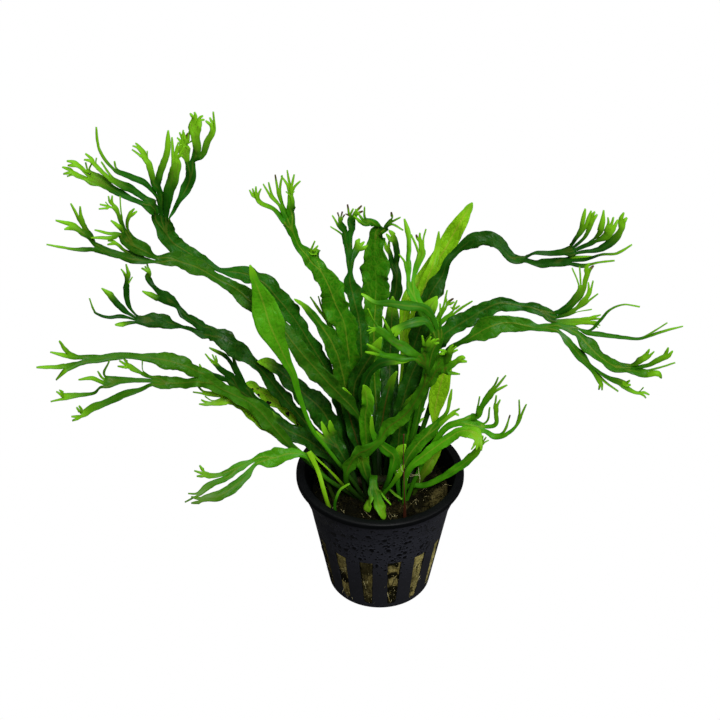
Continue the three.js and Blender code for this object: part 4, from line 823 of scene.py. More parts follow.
FRONDS: dict[str, Growth] = {
    "frond_left_tall": Growth((-5.2, 3.6), Tone.DARK, BLISTERED, blade((-11.5, 12, -4, 2),
        (-14.5, 25, -1, 3.6), (-19, 35, 1, 4.4), (-23.6, 42.5, 3, 5.2), (-28.1, 49.4, 5, 6),
        (-33.4, 56.4, 7, 5.6), (-39.8, 63, 9, 5.8), (-46.7, 65.5, 11, 5.2), (-51, 66.2, 12, 2.3),
        (-53.7, 66.7, 13, 1.6), (-58.6, 69.2, 14, 3.6), (-64.4, 72.6, 15, 4.6), (-69.4, 76.2, 16, 5.4),
        (-71.8, 80.4, 17, 5.4), (-72.8, 84.6, 18, 6.4), blade((-68.8, 86.4, 18, 1.2), (-67, 89.8, 19, 1.6),
        (-64.4, 94, 19, 3.4), (-63, 98.6, 20, 3.2), (-63.4, 102.8, 21, 3.2), blade((-60.2, 106.2, 22, 4.4),
        blade((-57.6, 109.4, 23, 2), (-55.8, 113.3, 24, 1.8), (-55.6, 119.5, 25), (-56.8, 117.6, 24)),
        blade((-61.6, 111, 23, 2.8), (-61.9, 119.4, 24))), blade((-65.4, 107, 22, 4), (-66.9, 112.6, 23),
        (-65.6, 113.4, 23), (-63.6, 113, 23))), blade((-76, 87.6, 20, 4.2), blade((-78.6, 89.6, 21, 3.4),
        blade((-84, 91, 22, 1.8), (-88.4, 93.2, 23, 2.4), (-92.6, 95.6, 24, 4.2), (-97, 97.8, 24, 4.6),
        blade((-101, 98.2, 24, 1.8), (-106, 101, 24)), blade((-100.2, 101.2, 25, 1.4), (-104.5, 103, 25)),
        (-98.2, 102.6, 25)), blade((-82, 93.2, 22, 2.2), (-86, 95, 24, 2.4), (-90, 97.2, 25, 2.2),
        (-93, 102.8, 26), blade((-94.2, 100.8, 26, 1.5), (-98.3, 105.5, 27))))), blade((-73.6, 91.8, 21, 2.8),
        blade((-79, 96, 23, 1.7), (-84, 98, 24, 2.2), (-88.2, 100, 25, 1.8), (-88.6, 103, 26),
        blade((-91.4, 103, 26, 1), (-94, 108, 27, 0.8), (-94.6, 114.4, 28))), blade((-74.8, 96.6, 23, 3.2),
        blade((-77.2, 102, 24, 2.1), (-81.6, 109, 25)), blade((-72.6, 101.2, 24, 2.2), (-71, 106, 25, 2),
        (-70.6, 113.3, 26)))), blade((-70.4, 92, 22, 3.2), (-69, 97, 23, 3.6), (-68, 102.2, 24, 3.2),
        (-69.4, 111, 25), (-67.2, 109.4, 25)))),
    "frond_left_middle": Growth((-4.4, -6), Tone.GREEN, LEFT_CREST, blade((-6.3, 3, 4, 1.7),
        (-6.2, 11, 8, 1.7), (-6.8, 16.5, 10, 1.7), (-9.2, 20.6, 12, 3.2), (-13, 24.8, 13, 4.4),
        (-17.4, 29.4, 14, 5.3), (-22.6, 35, 14, 5.4), (-27.5, 40.4, 15, 4.6), (-32, 46, 15, 5),
        (-37.4, 51.4, 15, 6), (-43.3, 56.4, 15, 5.2), (-47, 59.7, 15, 4.6), (-50.6, 61.9, 16, 3.2),
        (-54, 63.5, 16, 3), (-57.5, 65.4, 16, 4.4), (-61, 67.4, 17, 5.6), (-65.5, 69, 17, 5.4),
        (-70, 70.3, 18, 4.4), (-74.4, 70, 18, 2.8), blade((-80.2, 69.9, 19, 2.8), (-85.6, 71.8, 20, 3.6),
        blade((-91.4, 73, 21, 2.4), (-95, 74.6, 22, 3.2), blade((-98.5, 73.4, 22, 1.6), (-104, 73.8, 23, 0.9),
        (-111.2, 75.2, 24)), blade((-96.8, 77.8, 23, 2.4), (-99.4, 80.2, 24, 3.8),
        blade((-103.5, 81.3, 25, 2.4), (-108.2, 83.2, 26), (-105.3, 80.2, 26)), blade((-100.3, 84.6, 25, 2),
        (-103.2, 88.9, 26), (-100, 88, 26)))), blade((-87.8, 75.4, 22, 1), (-90.8, 76.5, 23))),
        blade((-78.6, 73, 20, 3.6), (-83, 75.6, 21, 4.6), (-85.6, 79.4, 22, 3.6),
        blade((-89.2, 78.2, 23, 2.4), (-95.2, 80, 24), (-96.5, 77.4, 24)), blade((-87, 81.4, 24, 1.6),
        (-89.8, 83.2, 25)), blade((-86.8, 84.8, 24, 1.8), blade((-89, 88, 25, 1.8), (-90.6, 91.4, 26),
        (-93.8, 87, 26)), (-86.7, 91.4, 25)), blade((-83.8, 84, 24, 1.4), (-81.8, 87.2, 25))))),
    "frond_left_dark": Growth((-10.8, -1.8), Tone.DARK, JAGGED, blade((-17.6, 7.6, 0, 2.4), (-22, 12.6, 2, 3),
        (-27.4, 18.6, 4, 3.4), (-31.4, 23.2, 5, 4), (-35.4, 28.4, 6, 4.8), (-39.6, 33, 7, 3.6),
        (-43, 36.4, 8, 3.6), (-46.2, 38.8, 8, 5), (-50, 42.2, 9, 5.4), (-54, 44.6, 9, 5), (-58, 46.8, 10, 5),
        blade((-61.8, 49.4, 11, 2.6), (-65, 51.6, 12, 3), (-67.2, 54.4, 12, 1.7), (-70.4, 56.7, 13, 3.3),
        (-73.2, 58.4, 14, 3), (-79.3, 59.7, 15), blade((-75.2, 61, 15, 1.2), (-77, 64, 15, 2.2),
        (-76.9, 66, 16, 1), (-78.4, 68, 16))), blade((-62.2, 46.6, 11, 1.4), (-65.2, 47.6, 12, 1.3),
        (-68, 48.4, 12, 2.2), (-72, 49.4, 13, 4.2), (-77, 50, 14, 3.6), (-81, 50.3, 15, 2.3),
        blade((-85.4, 48.9, 16, 1.5), (-88.4, 48.4, 17)), blade((-85.8, 51.3, 16, 1.1), (-91, 51, 17, 0.9),
        (-95.2, 52.6, 18, 0.7), (-96.9, 57.3, 19)), blade((-86.2, 54.2, 16, 1.7), (-89.6, 57.8, 17, 1.9),
        (-92.9, 60.6, 18)), blade((-83.9, 55.6, 16, 1.3), (-84.5, 60.4, 17, 1.9), (-84.7, 68.7, 18))))),
    "frond_left_tines": Growth((-14, -5.4), Tone.DARK, JAGGED, blade((-20, 5.8, 1, 2.2),
        (-27, 11.6, 1.4, 2.4), (-35, 18, 2.6, 2.6), (-41, 22.6, 3.6, 3), (-45.4, 26.6, 4.6, 3.6),
        blade((-50, 30.2, 5.4, 3.2), blade((-54, 34.4, 6, 1.8), (-58.3, 38.8, 6), (-55.9, 38.6, 6)),
        blade((-57.4, 32, 7, 2), (-61.6, 34.2, 8))), blade((-47.4, 31.8, 5, 2.2), (-49, 35.4, 5, 2.2),
        blade((-52.4, 38.6, 5, 1.3), (-57, 40.8, 5)), (-49.8, 40.5, 5)))),
    "frond_left_long": Growth((-11.6, -4.8), Tone.BRIGHT, LEFT_CREST, blade((-19.4, -1.2, 6, 1.4),
        (-25, 3.8, 8.5, 1.6), (-29, 7.4, 10, 2), (-32.4, 10.8, 11.5, 3.2), (-36, 14.8, 13, 4.6),
        (-40, 19.4, 14, 5), (-44, 22.6, 15, 4.6), (-48, 24.6, 16, 3.9), (-52, 26.6, 17, 3.6),
        (-56, 29, 18, 4.6), (-60.4, 31.2, 19, 5.6), blade((-64.6, 34.6, 20, 4.6), (-70, 36.2, 20, 4.8),
        (-77, 37.4, 21, 2.8), (-85, 38, 22, 2.2), (-93, 37.2, 23, 2.6), (-99, 36.7, 24, 3.2),
        blade((-104, 38.4, 25, 2.2), (-110, 39.3, 26), (-107, 43.1, 27)), blade((-104.5, 34, 26, 2.4),
        (-114.6, 34.2, 27), (-108, 30, 27))), blade((-66.2, 29, 19, 3.4), (-71, 29, 19, 3.8),
        (-76, 29.8, 20, 3), blade((-79.2, 32.4, 21, 1.5), blade((-83, 34, 22, 2), (-87, 36.5, 23)),
        (-79.3, 36.4, 22)), blade((-82, 30, 21, 1.8), (-88, 29.6, 22, 2.8), (-92, 29.2, 23, 3.8),
        (-90.2, 36.6, 24), (-94.2, 33, 24), blade((-96, 30.6, 24, 1.4), (-100.6, 30.1, 25)),
        blade((-95.5, 25.6, 23, 1), (-101, 25, 23, 1.7), (-105.5, 24.4, 24, 2), (-109.8, 22.8, 25),
        (-107, 26.6, 25))), blade((-79, 27.2, 21, 1.4), (-84.5, 25.4, 22, 2.6), (-90, 23, 23, 2.2),
        (-95.5, 20.9, 24, 2.7), (-99.5, 18.6, 25, 2.4), (-102.6, 16.4, 26), (-100.4, 21.5, 26))))),
    "frond_left_small": Growth((-14.8, -6.6), Tone.PALE, CRESTED, blade((-20.6, 0.6, 5, 1.3),
        (-28, 7, 8, 1.6), (-34.6, 12.2, 10, 2.8), (-39.8, 16, 11, 3.6), (-45.4, 20.8, 12, 3.2),
        (-50.6, 24.2, 14, 3.6), blade((-55.5, 25.4, 15, 1.8), (-59, 25.8, 16, 1.5), (-61, 28.2, 17),
        (-62.4, 26, 17)), blade((-56, 22.6, 15, 2), (-60.4, 22, 16), (-58.4, 24.6, 16))), 0.2),
    "leaf_spotted": Growth((-10, 1.8), Tone.PALE, SPOTTED, blade((-18, 8.5, -2, 1.4), (-22.4, 12, -1, 1.8),
        (-26, 15.2, -0.6, 2.6), (-29.4, 18.4, -0.3, 3.4), (-33, 21.6, 0, 3.6), (-36.6, 23.8, 0, 4.2),
        (-40.2, 26.2, 0, 4.6), (-43.4, 27.6, 0, 3.8), (-45.6, 28.6, 0, 0))),
    "frond_low_left": Growth((-6, -7.2), Tone.BRIGHT, CRESTED, blade((-20.6, -0.4, 12, 1.3),
        (-25.4, 5, 14.5, 1.8), (-30, 5.5, 15, 3.6), (-34.8, 4.2, 15, 6), (-38.8, 3.8, 15, 4.2),
        (-41.6, 2.8, 15, 3), blade((-46.6, 1.2, 15.5, 2.8), (-52, -2, 16, 3.6), blade((-57, -1.9, 17, 1.8),
        (-62, -0.2, 18)), blade((-57, -5.2, 17, 2), (-61, -8.2, 18, 1.6), (-64, -7.8, 19),
        (-65.1, -10.7, 19))), blade((-45, -2.4, 16, 2.6), (-50, -6.4, 17, 3.8), (-54, -8.7, 18, 3),
        (-58.5, -9.5, 19, 2.2), (-63, -11, 20)))),
    "frond_upright": Growth((-2.8, 3.6), Tone.GREEN, CRESTED, blade((-6.6, 12, -5, 2.4), (-8.4, 21, -3, 3.4),
        (-9.8, 31, -1, 4.8), (-10.8, 41, 1, 6.4), (-12.2, 49.5, 3, 8.4), (-14.6, 55, 4, 8),
        (-17.1, 60.8, 6, 7.2), (-19.9, 66.2, 8, 6.6), (-23.4, 70.8, 9, 6.4), blade((-27.2, 74.6, 11, 3),
        (-28.6, 78, 12, 2.6), (-29.9, 81, 13, 3), (-31, 84, 14, 5), blade((-35, 86.4, 15, 1.6),
        (-40.6, 89.8, 16, 1.8), (-43.6, 93.4, 17), (-41.4, 94.6, 17)), blade((-33.2, 88.2, 15, 2.2),
        blade((-36.4, 91.6, 16, 1.6), (-39, 95.4, 17), (-37.2, 96, 17)), blade((-33.8, 93.4, 16, 1.6),
        (-35, 98.5, 17), (-32.6, 98.3, 17))), blade((-29.9, 88.8, 15, 2.6), (-31, 100, 16),
        (-28.6, 98.6, 16))), (-21.7, 76.4, 11))),
    "leaf_lance": Growth((-4.4, -7.2), Tone.BRIGHT, SMOOTH, blade((-18, 7.6, 12, 1.2), (-22.4, 13.2, 14, 1.3),
        (-25.2, 19.6, 15, 1.5), (-27.3, 25.6, 16, 1.8), (-29, 31.8, 16.5, 2.4), (-31, 35.8, 17, 3.2),
        (-33.4, 40.8, 18, 5), (-35.2, 44.6, 19, 6.8), (-37, 49.2, 20, 9), (-38.4, 54, 20, 8.6),
        (-40, 58.6, 21, 5.6), (-41.8, 63, 22, 2.6), (-43.4, 68.4, 23, 0))),
    "leaf_left_blade": Growth((-7.6, 1.2), Tone.GREEN, WAVY, blade((-9.4, 12, -2, 2.2), (-11, 24, 1, 4),
        (-12.8, 33, 3, 5.8), (-14.8, 39.5, 4, 6.4), (-17.4, 44.6, 5, 5.4), (-20.4, 49, 6, 2.8),
        (-23.6, 53, 7, 2.2), (-26, 55.3, 8, 1.4), (-28.6, 57, 9, 0))),
    "frond_left_slender": Growth((-4.4, 4.8), Tone.GREEN, CRESTED, blade((-10, 20, -8, 1.8),
        (-13, 36, -7, 2.2), (-16.2, 47, -6, 1.8), (-19, 52.4, -5, 1.5), (-23.3, 57.8, -4), (-20.6, 58, -4))),
    "leaf_dark_left": Growth((-8.4, 0), Tone.DARK, WAVY, blade((-13, 7, 0, 3.2), (-16, 14, 1, 6),
        (-20, 20.6, 3, 7.6), (-25, 25, 4, 7), (-29.4, 29.4, 5, 5.4), (-33.6, 33, 6, 4.2), (-37, 35.4, 7, 3.2),
        (-41, 36.2, 8, 0))),
    "leaf_dark_low": Growth((-11.6, -3.6), Tone.DARK, WAVY, blade((-14.8, 3, 1.5, 3.2), (-20, 7, 3.4, 5.2),
        (-25, 10.4, 4.6, 5.6), (-30, 12.8, 5.6, 5.2), (-34.6, 15.8, 6.4, 4), (-39.6, 21.6, 7, 0))),
    "leaf_dark_crest": Growth((-6, -6), Tone.DARK, WAVY, blade((-11.4, 2.6, 6, 3.2), (-14.4, 7.6, 8, 5.6),
        (-17.8, 11.4, 9, 6), (-22.6, 13.6, 10), (-19.6, 16.2, 10), (-16.8, 16.6, 10))),
    "leaf_dark_inner": Growth((-2.8, 0.6), Tone.DARK, RUSTY, blade((-7.2, 8, 2, 3.4), (-9.4, 15, 3, 5),
        (-11, 21, 5, 4.8), (-12.4, 27.6, 6, 0))),
    "leaf_dark_core": Growth((-0.4, 2.4), Tone.DARK, RUSTY, blade((-0.6, 9, -5, 3), (0.6, 16, -5, 4.8),
        (2, 23.6, -4, 4.2), (3.6, 29, -4, 2.4), (5.6, 33, -3, 0))),
    "leaf_dark_front": Growth((2.8, -5.4), Tone.DARK, WAVY, blade((5.6, 3, 5, 3), (6.2, 9, 8, 5.4),
        (7, 15, 10, 5.6), (9.4, 20.4, 11, 4), (12, 26, 12, 0))),
    "frond_centre_crest": Growth((-1.2, 4.2), Tone.DARK, BROWN_TIPPED, blade((-4, 16, -8, 2.4),
        (-5.4, 30, -7, 4), (-6.4, 40, -6, 5), (-6.6, 46, -6, 5.2), (-7.4, 51, -6, 4.8), (-8.4, 55.4, -5, 5),
        (-9.5, 60, -5, 5.4), (-10.2, 63, -4, 3.8), (-10.1, 66, -4, 1.6), (-10.2, 69.6, -4, 3.2),
        blade((-10.7, 75.5, -4, 2.8), blade((-12.4, 79, -3, 2.8), (-16.6, 81.2, -2),
        blade((-13.6, 82.3, -2, 2.4), (-16, 84.9, -1), (-12.6, 86.2, -1))), blade((-10, 79.5, -4, 2),
        blade((-9.6, 83.4, -4, 2.6), (-10.9, 88.6, -3), (-6.1, 88.2, -4)))), blade((-7.8, 73.6, -5, 2.2),
        (-5.2, 76.2, -5)))),
    "frond_big_curl": Growth((0.4, 4.8), Tone.GREEN, CURLED, blade((-1, 17, -10, 2.8), (-1.8, 32, -11, 4.2),
        (-2, 45, -11, 5.4), (-1.7, 54, -11, 7), (-1.5, 61.5, -10, 9), (-1.7, 68, -9, 8.4),
        (-1.9, 74, -8, 6.8), (-1.2, 78.4, -7, 5.6), (0.6, 81, -5, 4.4), blade((-2.6, 82.6, -4, 2.6),
        (-5.6, 83.4, -1, 2.4), (-8.3, 87, 0), (-8.8, 84.8, 0), (-5.2, 87.8, 0)), blade((3.8, 82.6, -2, 2.2),
        (3.8, 86, -1), (6.8, 84.2, 0), (7.7, 79.9, -1)))),
    "frond_back_curl": Growth((2, 8.4), Tone.DARK, DEEP_CREST, blade((2.4, 25, -16, 2.4), (3.2, 42, -18, 3.4),
        (4.2, 54, -19, 4), (5.2, 60.5, -19, 4), (5.4, 65, -18, 3.2), (4.6, 69, -18, 3),
        blade((3.2, 72.4, -17, 1.9), (1.7, 76.2, -16)), blade((5.6, 73, -17, 2.4), (4.6, 76.4, -16, 2.8),
        (2, 78.8, -15)))),
    "frond_bright_crest": Growth((6, -5.4), Tone.BRIGHT, CRESTED, blade((9.6, 12.4, 2.8, 1.6),
        (14, 27, 6.6, 2.3), (18.2, 40, 9.3, 3), (18, 47.6, 10.5, 3.2), (14.8, 52.6, 9, 3.2),
        (11.6, 57.2, 7, 3), (10.2, 62.4, 5, 3.2), blade((9.2, 69.5, 3, 2.6), (6.3, 72, 3),
        blade((9.8, 74, 2, 1.8), (9.4, 79, 1, 1.7), (8.1, 83.8, 0))), blade((12.6, 68.4, 3, 2.4),
        (14, 72.8, 2, 3.4), (10.3, 78.6, 1), blade((13.8, 76.3, 1, 2.2), (12, 78.5, 1), (15.3, 80.4, 1))))),
    "leaf_translucent": Growth((6.8, 5.4), Tone.PALE, SMOOTH, blade((8, 20, -12, 1.8), (8.2, 38, -16, 2.8),
        (8, 50, -18, 3.4), (9.6, 58, -18, 4), (14, 63.6, -19, 4.6), (18, 68.3, -19, 5.4),
        (21.5, 73.3, -19, 6), (24.2, 78.2, -19, 6.2), (26.8, 82.6, -18, 5), (29, 86.2, -18, 2.8),
        (30.8, 89.2, -18, 0))),
    "leaf_pale_narrow": Growth((2, 3.6), Tone.PALE, PLAIN, blade((6, 20, -10, 1.8), (9, 40, -11, 2.6),
        (12.6, 55, -12, 3.6), (15.4, 62.4, -12, 4), (17.6, 68.4, -12, 3.2), (19, 73, -13, 2),
        (19.6, 79.6, -13, 0))),
    "frond_right_tall": Growth((6, 4.2), Tone.DARK, RIGHT_CREST, blade((8.6, 14, -5.6, 2.2),
        (11.4, 29, -5.4, 3.6), (13, 43, -4.2, 5.4), (14.8, 53.5, -4, 6), (18, 60.5, -3, 5.6),
        (20.8, 65, -3, 3.4), (22.2, 69.3, -2, 2.3), (25.2, 72.6, -2, 2.2), (28.5, 75.2, -1, 3.2),
        (32.2, 77.2, 0, 4.7), (35.6, 77, 0, 4.8), (39.2, 75.6, 1, 4.2), (41.6, 72.8, 2, 3),
        (44, 70.4, 3, 3.8), (48, 69.8, 3, 4.4), blade((51.6, 72.3, 4, 1.5), (57, 72.2, 5, 1.6),
        (61, 72.7, 6, 2.2), (64.4, 73, 7, 3.6), blade((65.2, 77, 8, 1.4), (68, 81.5, 9, 2.4),
        (68.4, 87.2, 10), (70.4, 86.5, 10)), blade((68.5, 78, 8, 1.3), (70.2, 81.8, 9, 1.6),
        (71.6, 86.2, 10)), blade((71.3, 76.2, 8, 2), blade((73.5, 79.5, 9, 1.6), (74.5, 86.7, 10)),
        blade((75.9, 78.4, 10, 2.4), (77.8, 84.4, 11))), blade((74.3, 74, 8.6, 2.2), (77.8, 76.6, 9, 2.4),
        (80.1, 80.2, 10, 1.9), (81.3, 85.9, 11))), blade((53, 68.8, 4, 3.2), (58, 69.1, 5, 2.8),
        (63, 69.5, 6, 2.8), (71, 71.2, 7), blade((68, 70, 7, 1.2), (74, 71.8, 9, 0.8), (79, 72.2, 10, 0.7),
        (84, 75.2, 11)), blade((67.5, 67.9, 7, 1.4), (72, 69, 8, 0.8), (78.2, 69.8, 9))))),
    "frond_right_upper": Growth((6.8, 1.2), Tone.DARK, BLISTERED, blade((9.8, 11, -2, 1.7),
        (13.4, 23, -0.8, 3), (16, 33, 3.1, 4.6), (18, 40.6, 5, 4.8), (21.6, 45.4, 6, 4.8),
        (26.5, 48.5, 6.5, 5.4), (31.2, 51.4, 7, 6.4), (36, 54.2, 7.5, 4.9), (40, 55.7, 8, 4.4),
        (44, 55.3, 8, 3.6), (47.5, 54.6, 8, 2.8), (51, 54, 9, 3.6), (54.4, 52.6, 9, 4), (58.4, 50.8, 10, 4),
        blade((61.6, 53.8, 11, 2.2), (65.2, 57, 12, 3), (67.2, 61.4, 13, 3.2), (64, 67.4, 14),
        (66.5, 67.8, 14), blade((68.9, 65, 14, 1.8), (69.8, 69, 15))), blade((64.8, 53.2, 11, 2),
        blade((68.8, 57, 12, 2.6), (71, 63.2, 13), (72.7, 58.8, 13)), (70.6, 53.6, 12)),
        blade((64.6, 49.4, 11, 2.6), (69.6, 49.8, 12, 2.4), (73.6, 51.8, 13), (73.4, 48.2, 13)))),
    "frond_right_lower": Growth((9.2, -4.2), Tone.GREEN, RIGHT_CREST, blade((12.6, 8.6, -1.6, 1.5),
        (16.4, 20.6, -0.6, 1.7), (19.8, 33, 1, 1.8), (22.4, 39.6, 4, 1.6), (26.6, 42.4, 8, 1.4),
        (30, 44, 10, 2.6), (33.4, 46, 11, 6), (37, 47.8, 12, 6.6), (40.4, 49, 12, 5.2),
        (44.6, 49.1, 12.5, 4.8), (48.6, 48.2, 13, 3.8), (52.4, 47.4, 13.5, 2.1), (56, 47.5, 14, 2.6),
        (59.6, 47.2, 15, 3.4), blade((62.6, 42.8, 16, 2.6), (66.4, 38.4, 16, 2.8), (70, 34.2, 17, 2.2),
        blade((73.2, 29.8, 18, 2.4), (74, 26.6, 19), (79.4, 26.2, 19)), blade((75.4, 31, 18, 1.5),
        (80.4, 29, 19, 3), (83.6, 28.4, 20), blade((85, 25.9, 20, 1.2), (89.8, 25.1, 21)))),
        blade((65.4, 46.2, 15, 3.4), blade((69.2, 41.6, 16, 4.4), (73.6, 37.2, 17, 4.2), (78, 34.4, 18, 4),
        (83.4, 33.8, 19, 3.8), blade((87.2, 36.9, 20, 2), (91.4, 39.6, 21)), blade((89.4, 35, 20, 1.3),
        (94, 37.4, 21, 2), (97.6, 39.8, 22)), blade((89, 32.2, 20, 2.6), (98.4, 35.8, 21),
        blade((92.6, 32, 21, 2), (93.8, 30.6, 21)))), blade((70, 45.9, 16, 1.9), blade((73.2, 49.6, 17, 1),
        (77, 53.6, 18, 0.7), (81.6, 55.2, 19, 0.6), (86.6, 54.4, 20)), blade((75.4, 44.8, 17, 1.7),
        (81, 44.1, 18, 1.3), (87.4, 44, 19, 1.1), (95.8, 49.1, 21), blade((93, 45.8, 20, 0.8),
        (101, 48, 21))))))),
    "frond_right_small": Growth((4.4, 1.8), Tone.BRIGHT, CRESTED, blade((10, 15, -4, 1.6),
        (14, 32, -3.4, 2.2), (17.4, 43, -3, 2.6), (19.8, 49.5, -2, 3.2), blade((21.3, 54, -1, 1.8),
        (22.4, 60, 0), (24.5, 57.2, 0)), blade((24, 52.2, -1, 1.8), (25.7, 56.6, 0), (30.8, 56.4, 1)))),
    "leaf_dark_fold": Growth((3.6, 3), Tone.DARK, WAVY, blade((6.5, 14, -4, 2.4), (9, 30, -3, 4),
        (12, 43, -2, 5.4), (15.5, 52, -1, 5), (19, 58, -1, 0))),
    "frond_reaching_left": Growth((5.2, -7.2), Tone.GREEN, DEEP_CREST, blade((10.5, 10, 4, 2), (14, 25, 8, 3),
        (17, 38, 10, 3.4), (18.8, 46.5, 12, 3.8), blade((15.2, 49.4, 13, 2.2), (10.5, 49, 14, 2.6),
        (6.5, 47.4, 14, 2), (3.8, 45.2, 14)), blade((14.5, 54, 13, 2.4), (9, 54.7, 14, 2.8),
        (3.5, 55.5, 15, 2.4), (-1.5, 55.9, 16, 1.4), (-6.3, 58.8, 16)), (20, 55.5, 13))),
    "frond_front_fan": Growth((-5.2, -8.4), Tone.BRIGHT, FAN, blade((-11.4, -2, 13, 1.8),
        (-9.8, 2.6, 16, 4.6), (-7.2, 5.6, 18, 5.2), (-3.6, 7.2, 20, 3.2), (-0.4, 9.4, 21, 2.4),
        (2.6, 14, 22, 4.2), (6.5, 17, 23, 4.4), (9.6, 19.8, 24, 3.8), (12.4, 24, 25, 3.2),
        (14.6, 27.8, 26, 3.4), (17, 31.5, 27, 4.8), blade((15, 35, 28, 2.6), (13, 38.2, 29, 4.2),
        blade((6.5, 37.4, 30, 2.2), (0, 38.7, 31, 2), (-5, 39.4, 32), (-4.5, 42.1, 32)),
        blade((7.5, 41, 30, 3.4), (3, 44.2, 31, 2.8), blade((-1.2, 47.2, 32, 2.2), (-4.4, 46.4, 33),
        (-4.2, 53.9, 33)), (0.8, 51.3, 32)), blade((16, 41.2, 30, 3), (14, 44.9, 31), (17, 44.5, 31),
        (19.6, 43.8, 31))), blade((21.8, 35.6, 28, 6.4), blade((22.6, 39, 29, 3), (19.8, 40, 30),
        (25.5, 41.2, 30)), blade((25.8, 36.4, 29, 1.8), (28.4, 37.3, 30)), (26.6, 32, 29))), 0.1),
    "leaf_front_bright": Growth((-2, -4.8), Tone.BRIGHT, LIT, blade((-4.6, 4, 8, 1.8), (-4.6, 9.5, 10, 2.9),
        (-4.9, 15, 12, 4), (-4.7, 18.8, 13, 4.9), (-4.2, 22.2, 14, 4.6), (-4.7, 25.2, 14, 3.5),
        (-5.6, 28.4, 15, 0))),
    "leaf_front_under": Growth((-2, -6), Tone.GREEN, WAVY, blade((-3.9, -3.6, 6, 1.5), (-5, -0.4, 8, 3.6),
        (-6, 3.6, 10, 4.4), (-6.8, 8, 12, 0))),
    "leaf_front_strap": Growth((0.4, -4.2), Tone.GREEN, LIT, blade((3.6, -0.6, 10, 1.8), (4.6, 4.6, 13, 3.4),
        (1.8, 7.2, 16, 3.3), (-0.8, 9.6, 18, 2.6), (-2.6, 12.8, 19, 1.6), (-2.8, 18, 20, 0)), 0),
    "leaf_front_curl": Growth((1.2, -6), Tone.GREEN, WITHERED, blade((2.6, -6.2, 3.4, 1), (4.8, -8, 5, 1.4),
        (7.4, -9.8, 6, 0))),
    "leaf_front_sprout": Growth((-0.6, -5.8), Tone.BRIGHT, LIT, blade((4.6, -3.8, 7.1, 1.1),
        (6.4, -1.2, 8.9, 1.8), (8, 1.8, 9.5, 0))),
    "leaf_front_lobed": Growth((-0.4, -7.2), Tone.BRIGHT, BLUNT, blade((-1.6, -4.6, 9, 1.6),
        (-2, -2, 12.4, 1.8), (-2.2, -2.6, 15.4, 2.2), (-2.2, -5.2, 17, 2.6), (-2, -8, 17, 5.2),
        blade((-3.6, -11.2, 16.4, 2.6), (-4.6, -14, 15.6)), blade((-0.4, -12, 16.2, 3.2), (1.6, -16.4, 15)),
        (3.6, -11.6, 16.4)), 1),
    "leaf_front_small": Growth((6.6, -8.4), Tone.GREEN, LIT, blade((5.8, 1.5, 8, 2.2), (6.6, 6, 11, 3.2),
        (8.6, 8.6, 12.5, 0))),
    "petiole_cut": Growth((-16, -15.2), Tone.PALE, STALK, blade((-18.6, -7.4, 14, 1.8), (-20.8, 0, 15, 1.9),
        (-23.8, 6.2, 16, 2.1)), 0),
    "petiole_thin": Growth((-9.2, -5.4), Tone.PALE, WITHERED, blade((-18.4, 1.4, 11, 1), (-21, 3.8, 12, 1),
        (-23.4, 6.4, 13, 1)), 0),
    "leaf_front_left": Growth((-14.6, -16), Tone.GREEN, WITHERED, blade((-14.6, -9.2, 14, 1.4),
        (-13, -6.3, 15, 1.6), (-10.2, -4.5, 16, 0)), 0),
    "stalk_dark": Growth((8, -17.6), Tone.STALK, THREAD, blade((8.1, -8, 16, 0.9), (7.9, 0, 17, 0.8),
        (7.8, 8, 18, 0.7), (7.9, 12, 18.5, 0)), 0),
    "leaf_right_pale": Growth((10.8, -4.8), Tone.PALE, SMOOTH, blade((14, -1.8, 2.5, 2.4),
        (15.6, 0.6, 4, 3.6), (17.3, 4, 4.5, 3.8), (19.2, 7.6, 5, 2.6), (18.9, 10.8, 5, 1.4),
        (18.3, 15, 5, 1.8), (18.3, 20, 5, 3.8), (19.2, 24.4, 5, 5.6), (20.2, 28.4, 5, 6.2),
        (21.6, 33, 5, 4.6), (23, 38.6, 5, 0)), 0),
    "frond_right_short": Growth((7.6, -6.6), Tone.GREEN, CRESTED, blade((9, 3.6, 9, 3),
        (12.4, 8.4, 11.5, 4.3), (16, 12, 13.5, 4), (19.4, 15.4, 15, 2.6), blade((22, 19, 16, 1.1),
        (23.2, 23.5, 16, 1.1), (23.9, 27, 16)), blade((23.3, 18.2, 16, 1.3), (25, 19.4, 16, 1.6),
        (26.5, 20.5, 17), (26.3, 18.2, 17)))),
    "frond_right_crest": Growth((8.4, -7.8), Tone.BRIGHT, LIT_CREST, blade((15, 4, 8.5, 1.5),
        (18.5, 9.8, 10.5, 1.8), (22.5, 14.5, 11.5, 2.2), (27, 16, 12.5, 2.4), (30, 15.8, 13, 4),
        blade((32.6, 18, 15, 1.9), (33.4, 21, 16, 2.4), (33.2, 24.6, 17), blade((36, 24.4, 17, 2.2),
        (38.4, 27.4, 18, 2.4), (39.4, 31, 19), (42, 31.6, 19), (42.4, 28.4, 19))),
        blade((34.6, 13.8, 14, 3.8), (36.6, 21, 16), blade((38.2, 15, 15, 1.4), (38.6, 19, 16, 1.4),
        (38.7, 25, 17)), blade((38.4, 11.2, 15, 2), (41.4, 12, 16, 2), (43.3, 18.4, 17),
        blade((44.7, 14, 17, 1.1), (46.7, 18.4, 18, 1.4), (46.3, 23.5, 19), (48.8, 22, 19)))))),
    "leaf_right_lobed": Growth((7.6, -9.6), Tone.BRIGHT, LIT_CREST, blade((10.6, 1.4, 12.5, 2.2),
        (14.2, 4.5, 14.5, 3.5), (18.4, 7.5, 16, 3.6), (22.6, 10.4, 17, 3.6), (27.2, 12.8, 18, 3.6),
        (30.8, 12.4, 20, 4.2), (32.5, 9.6, 22, 2.8), (32, 6.6, 23, 0))),
